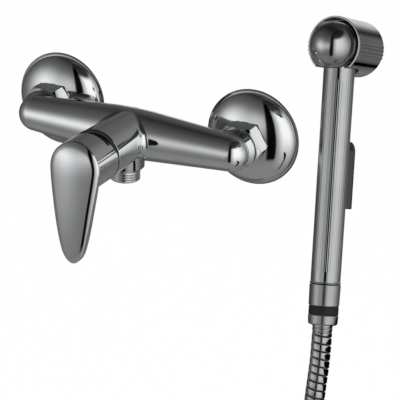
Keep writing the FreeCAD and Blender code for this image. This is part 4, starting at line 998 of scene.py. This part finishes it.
# handle: the fade is the length over which the flutes run out, the flesh is the saddle's rows between its outer
# edge and its bore, and the gap is the air round the ball over its travel (from -1.2 to 1.8)
handle = {"top": 10.05, "bottom": 9.65, "length": 150.6, "bore": 8.4, "boreEnd": -26.0, "flutes": 36,
          "depth": 0.07, "share": 0.42, "land": -62.7, "topBand": 20.8, "bottomBand": 5.4, "fade": 2.2,
          "rise": -12.4, "flesh": (9.1, 8.75), "soft": 0.6, "gap": 0.3, "travel": (-1.2, 1.8),
          "shellFrom": 13.98, "shellBore": 17.12}


def saddle(r, angle):
    # the handle's upper edge: below its rise, the ball over its whole travel, and the shell's bore behind it
    x, s = r * np.cos(angle), shower["handleAway"] + r * np.sin(angle)
    nearEnd, farEnd = handle["travel"]
    along = np.where(s < nearEnd, s - nearEnd, np.where(s > farEnd, s - farEnd, 0.0))
    ball = np.sqrt(np.maximum((head["ball"] + handle["gap"]) ** 2 - x ** 2 - along ** 2, 0.0))
    top = np.minimum(handle["rise"], -np.minimum(ball, handle["gap"] - head["flat"]))
    return np.where(s > handle["shellFrom"], np.minimum(top, -np.sqrt(handle["shellBore"] ** 2 - x ** 2)), top)


def makeHandle():
    # fluted tube: radius = taper - fade * depth * sin(share of the flute * half turn)^1.4, where the fade runs the
    # flutes out at both bands; above it a smooth band up to the saddle
    steps = handle["flutes"] * 10
    angle = np.linspace(0, full, steps + 1)[None, :]
    low, high, run, bore = -handle["length"], -handle["topBand"], handle["fade"], handle["bore"]
    fluteLow, fluteHigh = low + handle["bottomBand"], high - run
    z = np.concatenate([[low, low + 3.5], np.linspace(fluteLow, fluteLow + run, 9),
                        np.linspace(fluteLow + run, fluteHigh, 8)[1:-1], np.linspace(fluteHigh, high, 9)])[:, None]
    fade = np.sin(np.clip(np.minimum(z - fluteLow, high - z) / run, 0, 1) * math.pi / 2) ** 2
    land = 1 - handle["share"]
    phase = ((angle / full - handle["land"] / 360) * handle["flutes"] + land / 2) % 1.0
    dip = handle["depth"] * np.sin(np.clip((phase - land) / handle["share"], 0, 1) * math.pi) ** 1.4
    taper = handle["top"] + (handle["bottom"] - handle["top"]) * (-z / handle["length"])
    piece = Piece()
    piece.add(around(taper - fade * dip, angle, z), None, handleAt)
    turn, soft = np.radians(np.linspace(0, 90, 6)), handle["soft"]
    edge = np.column_stack([handle["top"] - soft * (1 - np.cos(turn)), -soft * (1 - np.sin(turn))])
    edge = np.concatenate([edge, [(r, 0.0) for r in handle["flesh"] + (bore,)]])
    rows = around(np.concatenate([[handle["top"]], edge[:, 0], [bore]])[:, None], angle, np.concatenate(
        [np.full_like(angle, high), saddle(edge[:, :1], angle) + edge[:, 1:], np.full_like(angle, handle["boreEnd"])]))
    radial = around(1.0, angle, 0.0)[0]
    piece.add(rows[:2], np.stack([radial, radial]), handleAt)
    piece.add(rows[1:7], None, handleAt)
    piece.add(rows[6:10], None, handleAt)
    piece.add(rows[9:], np.stack([-radial, -radial]), handleAt)
    lathe(piece, rounded([(bore, handle["boreEnd"]), (bore, low), (handle["bottom"], low)]), handleAt, steps)
    piece.build("handleTube", "handset", "chrome", ("handle",), "grip_chrome")


makeHandle()


# hanging hook behind the handle
hook = {"top": 60.5, "bottom": 104.0, "gap": 4.5, "thick": 2.6, "width": 12.8, "root": 15.2, "round": 0.5,
        "endRound": 0.6, "bendLess": 0.1}


def makeHook():
    # a rounded bar section carried along the hook's middle line: out from the handle, round and down
    end = hook["endRound"]
    middle = shower["handleAway"] + handle["top"] + hook["gap"] + hook["thick"] / 2
    high = -hook["top"] - hook["thick"] / 2
    bend = hook["gap"] + hook["thick"] / 2 - hook["bendLess"]
    turn = np.linspace(0, math.pi / 2, 17)
    start = np.column_stack([np.linspace(hook["root"], middle - bend, 6), np.full(6, high)])
    curve = np.column_stack([middle - bend + bend * np.sin(turn), high - bend + bend * np.cos(turn)])
    down = np.column_stack([np.full(12, middle), np.linspace(high - bend, -hook["bottom"] + end, 12)])
    line = np.concatenate([start, curve[1:], down[1:]])
    way = unit(np.gradient(line, axis=0))
    out = np.column_stack([-way[:, 1], way[:, 0]])
    out = np.where(out.sum(axis=1)[:, None] < 0, -out, out)
    wide, thick, soft = hook["width"] / 2, hook["thick"] / 2, hook["round"]
    corner = np.repeat([(1, 1), (-1, 1), (-1, -1), (1, -1)], 5, axis=0) * (wide - soft, thick - soft)
    degree = np.radians(np.concatenate([np.linspace(begin, begin + 90, 5) for begin in (0, 90, 180, 270)]))
    facing = np.column_stack([np.cos(degree), np.sin(degree)])
    section, facing = (np.concatenate([flat, flat[:1]]) for flat in (corner + soft * facing, facing))

    def carried(flat):
        # (a, b) of the section becomes (a, b * out)
        return np.stack(np.broadcast_arrays(flat[None, :, 0], out[:, :1] * flat[None, :, 1],
                                            out[:, 1:] * flat[None, :, 1]), -1)
    points, normals = carried(section), carried(facing)
    points[..., 1:] += line[:, None, :]
    piece = Piece()
    piece.add(points, normals, showerAt)
    last = points[-1]
    centre = last.mean(axis=0)
    lean = np.radians([0, 22.5, 45, 67.5, 90, 90])[:, None, None]
    shrink = 1 - (1 - np.cos(lean)) * end / np.array([wide, thick, np.inf])
    rows = (last - centre) * shrink + centre - np.array([0, 0, end]) * np.sin(lean)
    rows[-1] = rows[-2].mean(axis=0)
    piece.add(rows, unit(last - centre) * np.cos(lean) - np.array([0, 0, 1.0]) * np.sin(lean), showerAt)
    piece.build("hangingHook", "handset", "chrome", ("hanging_hook",), "dim_chrome")


makeHook()
print("hand shower done")


# hose fittings: body, slot, node, steps, and profiles by (radius, distance down the handle), each with its painted
# shade
fittings = {
    "topNut": ("handset", "satin_chrome", "top_nut", 144, [
        ([(8.36, 151.0), (9.7, 151.0), (10.1, 151.4, 0.2), (10.1, 151.9, 0.15), (9.6, 151.95)], 0.0),
        # painted shade fills this narrow band
        ([(9.6, 151.95), (9.6, 152.75)], 1.0),
        ([(9.6, 152.75), (10.08, 152.8, 0.12), (9.85, 166.2, 0.35), (6.3, 166.2), (6.3, 164.7), (8.36, 164.7),
          (8.36, 151.0)], 0.0)]),
    "swivelRing": ("hose", "black_plastic", "swivel_ring", 128, [
        ([(6.25, 166.35), (9.35, 166.35, 0.25), (9.65, 167.2, 0.3), (9.65, 171.6, 0.3), (9.4, 172.4, 0.2),
          (6.25, 172.4), (6.25, 166.35)], 0.0)]),
    "hoseCollar": ("hose", "satin_chrome", "hose_collar", 144, [
        ([(6.25, 172.5), (9.8, 172.5, 0.25), (9.5, 177.8, 0.3), (8.7, 178.6, 0.2), (6.25, 178.6),
          (6.25, 172.5)], 0.0)]),
    "topFerrule": ("hose", "satin_chrome", "top_ferrule", 112, [
        ([(5.6, 178.6), (6.7, 178.6), (6.62, 180.0, 0.2), (6.35, 180.4, 0.2), (6.35, 180.9, 0.2),
          (6.55, 181.3, 0.2), (6.5, 182.4, 0.2), (6.2, 182.8, 0.2), (6.2, 183.3, 0.2), (6.35, 183.6, 0.2),
          (6.3, 184.2, 0.3), (5.5, 184.2)], 0.0)]),
}
endNut = (24.0, 13.5, 29.5, 1.2, 10.5, 13.6, 6.3)  # flats, ends, chamfer, bore, its depth, mouth


def makeFittings():
    # turned profiles below the handle, and a hexagonal nut at the hose's free end
    for name, (rides, slotName, node, steps, profiles) in fittings.items():
        turnedPiece(name, rides, slotName, node, downAt, steps,
                    [(rounded(corners), shade) for corners, shade in profiles])
    nut = Piece()
    hexNut(nut, axes(hose["end"], (0, 0, 1), (0, 1, 0), (-1, 0, 0)), endNut)
    nut.build("endNut", "hose_nut", "chrome", ("end_nut",))


makeFittings()
print("fittings done")


# studio, in metres: pale floor, white surround, two soft lamps, and a tent that only bright metal sees, with a
# black card beside the hose; the flag's edges are (start angle, level)
studio = {"floor": -0.3125, "size": 9.0, "tent": 6.0, "floorWhite": 0.94, "surround": (0.85, 0.15),
          "lamps": [("softLeft", (-1.4, -1.6, 1.2), 14.0, 1.2), ("softRight", (1.8, -1.0, 1.0), 18.0, 1.2)],
          "flagPlace": (0.17, -0.103), "flagReach": 0.06, "flagEnd": 85, "flagColumns": 25,
          "flagEdges": [(20, -0.30), (18, -0.145), (4, -0.122), (-8, -0.10), (-16, -0.083)]}

# the tent's light in degrees: azimuth 0 is straight out from the wall, positive to the right, and behind counts
# from 0 to 360; a lobe is (azimuth, width, height, width, strength), a band fades in and out between its numbers
tentLight = {"ramp": [(0.0, 0.27), (0.22, 0.26), (0.30, 0.20), (0.40, 0.17), (0.5, 0.165), (0.66, 0.15),
                      (0.76, 0.12), (0.84, 0.085), (0.90, 0.055), (1.0, 0.05)],
             "dimSides": (-130, 230, 34, 0.55),
             "leftLobes": [(-42, 25, 3, 21, 0.85), (-2, 18, 10, 17, 0.42)],
             "right": {"start": (18, 50), "fall": (70, 142, 0.88), "end": (140, 179), "up": (-66, 10, 38, 52),
                       "strength": 1.02},
             "rim": {"across": (168, 180, 200, 214), "up": (-16, -6, 4, 16), "strength": 0.6},
             "above": {"across": (2, 12, 130, 160), "up": (34, 52), "strength": 0.6},
             "flag": {"across": (6, 10, 24, 28), "up": (-43, -37, 60, 74), "strength": 0.985},
             "shadeLow": (148, 14, 2, 14, 0.35),
             "shadeLobes": [(163, 7, 8, 6, 0.85), (149, 9, -40, 5, 0.8)]}


def floorShader(maker):
    # white to the camera, with a little of the real light left so that shadows stay
    path = maker.node("ShaderNodeLightPath", {}, {}, "Is Camera Ray")
    paper = maker.node("ShaderNodeBsdfDiffuse", {}, {"Color": (0.9, 0.9, 0.9, 1)})
    glow = maker.node("ShaderNodeEmission", {}, {"Color": (1, 1, 1, 1), "Strength": 1.0})
    return maker.node("ShaderNodeMixShader", {}, {0: path * studio["floorWhite"], 1: paper, 2: glow})


def tentShader(maker):
    # (ramp over height * dim sides * (1 - above) + left + right + rim) * (1 - flag) * (1 - shade)
    where = maker.node("ShaderNodeTexCoord", {}, {}, "Object")
    tent = studio["tent"]
    x, out, up = (maker.node("ShaderNodeSeparateXYZ", {}, {0: where}, k) / scale
                  for k, scale in enumerate((tent, -tent, tent)))
    azimuth = x.op("ARCTAN2", out) * (180 / math.pi)
    height = up.op("ARCSINE") * (180 / math.pi)
    behind = (azimuth + 360).op("MODULO", 360.0)

    def lobe(across, centre, width, level, tall, strength):
        return across.bell(centre, width) * height.bell(level, tall) * strength
    light = maker.node("ShaderNodeValToRGB", {"stops": tentLight["ramp"]}, {0: (height + 90) / 180})
    first, second, width, dim = tentLight["dimSides"]
    light = light * (1 - (azimuth.bell(first, width) + azimuth.bell(second, width)) * dim)
    above = tentLight["above"]
    light = light * (1 - azimuth.band(*above["across"]) * height.step(*above["up"]) * above["strength"])
    for numbers in tentLight["leftLobes"]:
        light = light + lobe(azimuth, *numbers)
    right = tentLight["right"]
    low, high, loss = right["fall"]
    across = azimuth.step(*right["start"]) * (1 - azimuth.step(low, high) * loss) * (1 - azimuth.step(*right["end"]))
    light = light + across * height.band(*right["up"]) * right["strength"]
    rim = tentLight["rim"]
    light = light + behind.band(*rim["across"]) * height.band(*rim["up"]) * rim["strength"]
    flag = tentLight["flag"]
    light = light * (1 - azimuth.band(*flag["across"]) * height.band(*flag["up"]) * flag["strength"])
    centre, width, low, high, strength = tentLight["shadeLow"]
    shade = behind.bell(centre, width) * (1 - height.step(low, high)) * strength
    for numbers in tentLight["shadeLobes"]:
        shade = shade + lobe(behind, *numbers)
    return maker.node("ShaderNodeEmission", {}, {"Color": (1, 1, 1, 1), "Strength": light * (1 - shade)})


def blackShader(maker):
    return maker.node("ShaderNodeEmission", {}, {"Color": (0, 0, 0, 1), "Strength": 0.0})


def seenInMetalOnly(thing):
    thing.visible_camera = thing.visible_diffuse = thing.visible_shadow = thing.visible_transmission = False
    return thing


def makeFlag():
    # black card curved round the back of the hose, (x + reach cos a, y + reach sin a, level): it darkens the
    # hose's right edge
    columns, edges = studio["flagColumns"], np.array(studio["flagEdges"])
    x, y = studio["flagPlace"]
    angle = np.radians(np.linspace(edges[:, 0], studio["flagEnd"], columns, axis=1))
    points = np.stack(np.broadcast_arrays(x + studio["flagReach"] * np.cos(angle),
                                          y + studio["flagReach"] * np.sin(angle), edges[:, 1:]), -1)
    mesh = bpy.data.meshes.new("edgeFlag")
    mesh.from_pydata(points.reshape(-1, 3).tolist(), [], gridQuads(len(edges), columns).tolist())
    mesh.materials.append(newMaterial("blackCard", blackShader))
    flag = bpy.data.objects.new("edgeFlag", mesh)
    bpy.context.collection.objects.link(flag)
    return seenInMetalOnly(flag)


def makeWorld():
    # white to the camera, in metal and through clear parts; a little less where it lights the object
    world = bpy.data.worlds.new("whiteSurround")
    bpy.context.scene.world = world
    world.use_nodes = True
    maker = Maker(world.node_tree)
    path = [maker.node("ShaderNodeLightPath", {}, {}, name) for name in
            ("Is Camera Ray", "Is Glossy Ray", "Is Transmission Ray")]
    seen = (path[0] + path[1] + path[2]).op("MINIMUM", 1.0)
    base, more = studio["surround"]
    sky = maker.node("ShaderNodeBackground", {}, {"Color": (1, 1, 1, 1), "Strength": seen * more + base})
    maker.node("ShaderNodeOutputWorld", {}, {"Surface": sky})


def makeStudio():
    bpy.ops.mesh.primitive_circle_add(vertices=96, radius=studio["size"], fill_type="NGON",
                                      location=(0, 0, studio["floor"]))
    floor = bpy.context.object
    floor.name = "paleFloor"
    floor.data.materials.append(newMaterial("paleFloor", floorShader))
    floor.visible_glossy = False
    bpy.ops.mesh.primitive_ico_sphere_add(subdivisions=5, radius=studio["tent"])
    tent = seenInMetalOnly(bpy.context.object)
    tent.name = "lightTent"
    tent.data.materials.append(newMaterial("lightTent", tentShader))
    makeFlag()
    makeWorld()
    for name, place, power, size in studio["lamps"]:
        lamp = bpy.data.lights.new(name, "AREA")
        lamp.energy, lamp.size = power, size
        holder = bpy.data.objects.new(name, lamp)
        holder.matrix_world = placed(place, -np.array(place), (0, 0, 1))
        holder.visible_glossy = False
        bpy.context.collection.objects.link(holder)
    bpy.context.scene.view_settings.view_transform = "Standard"


makeStudio()
print("studio done")
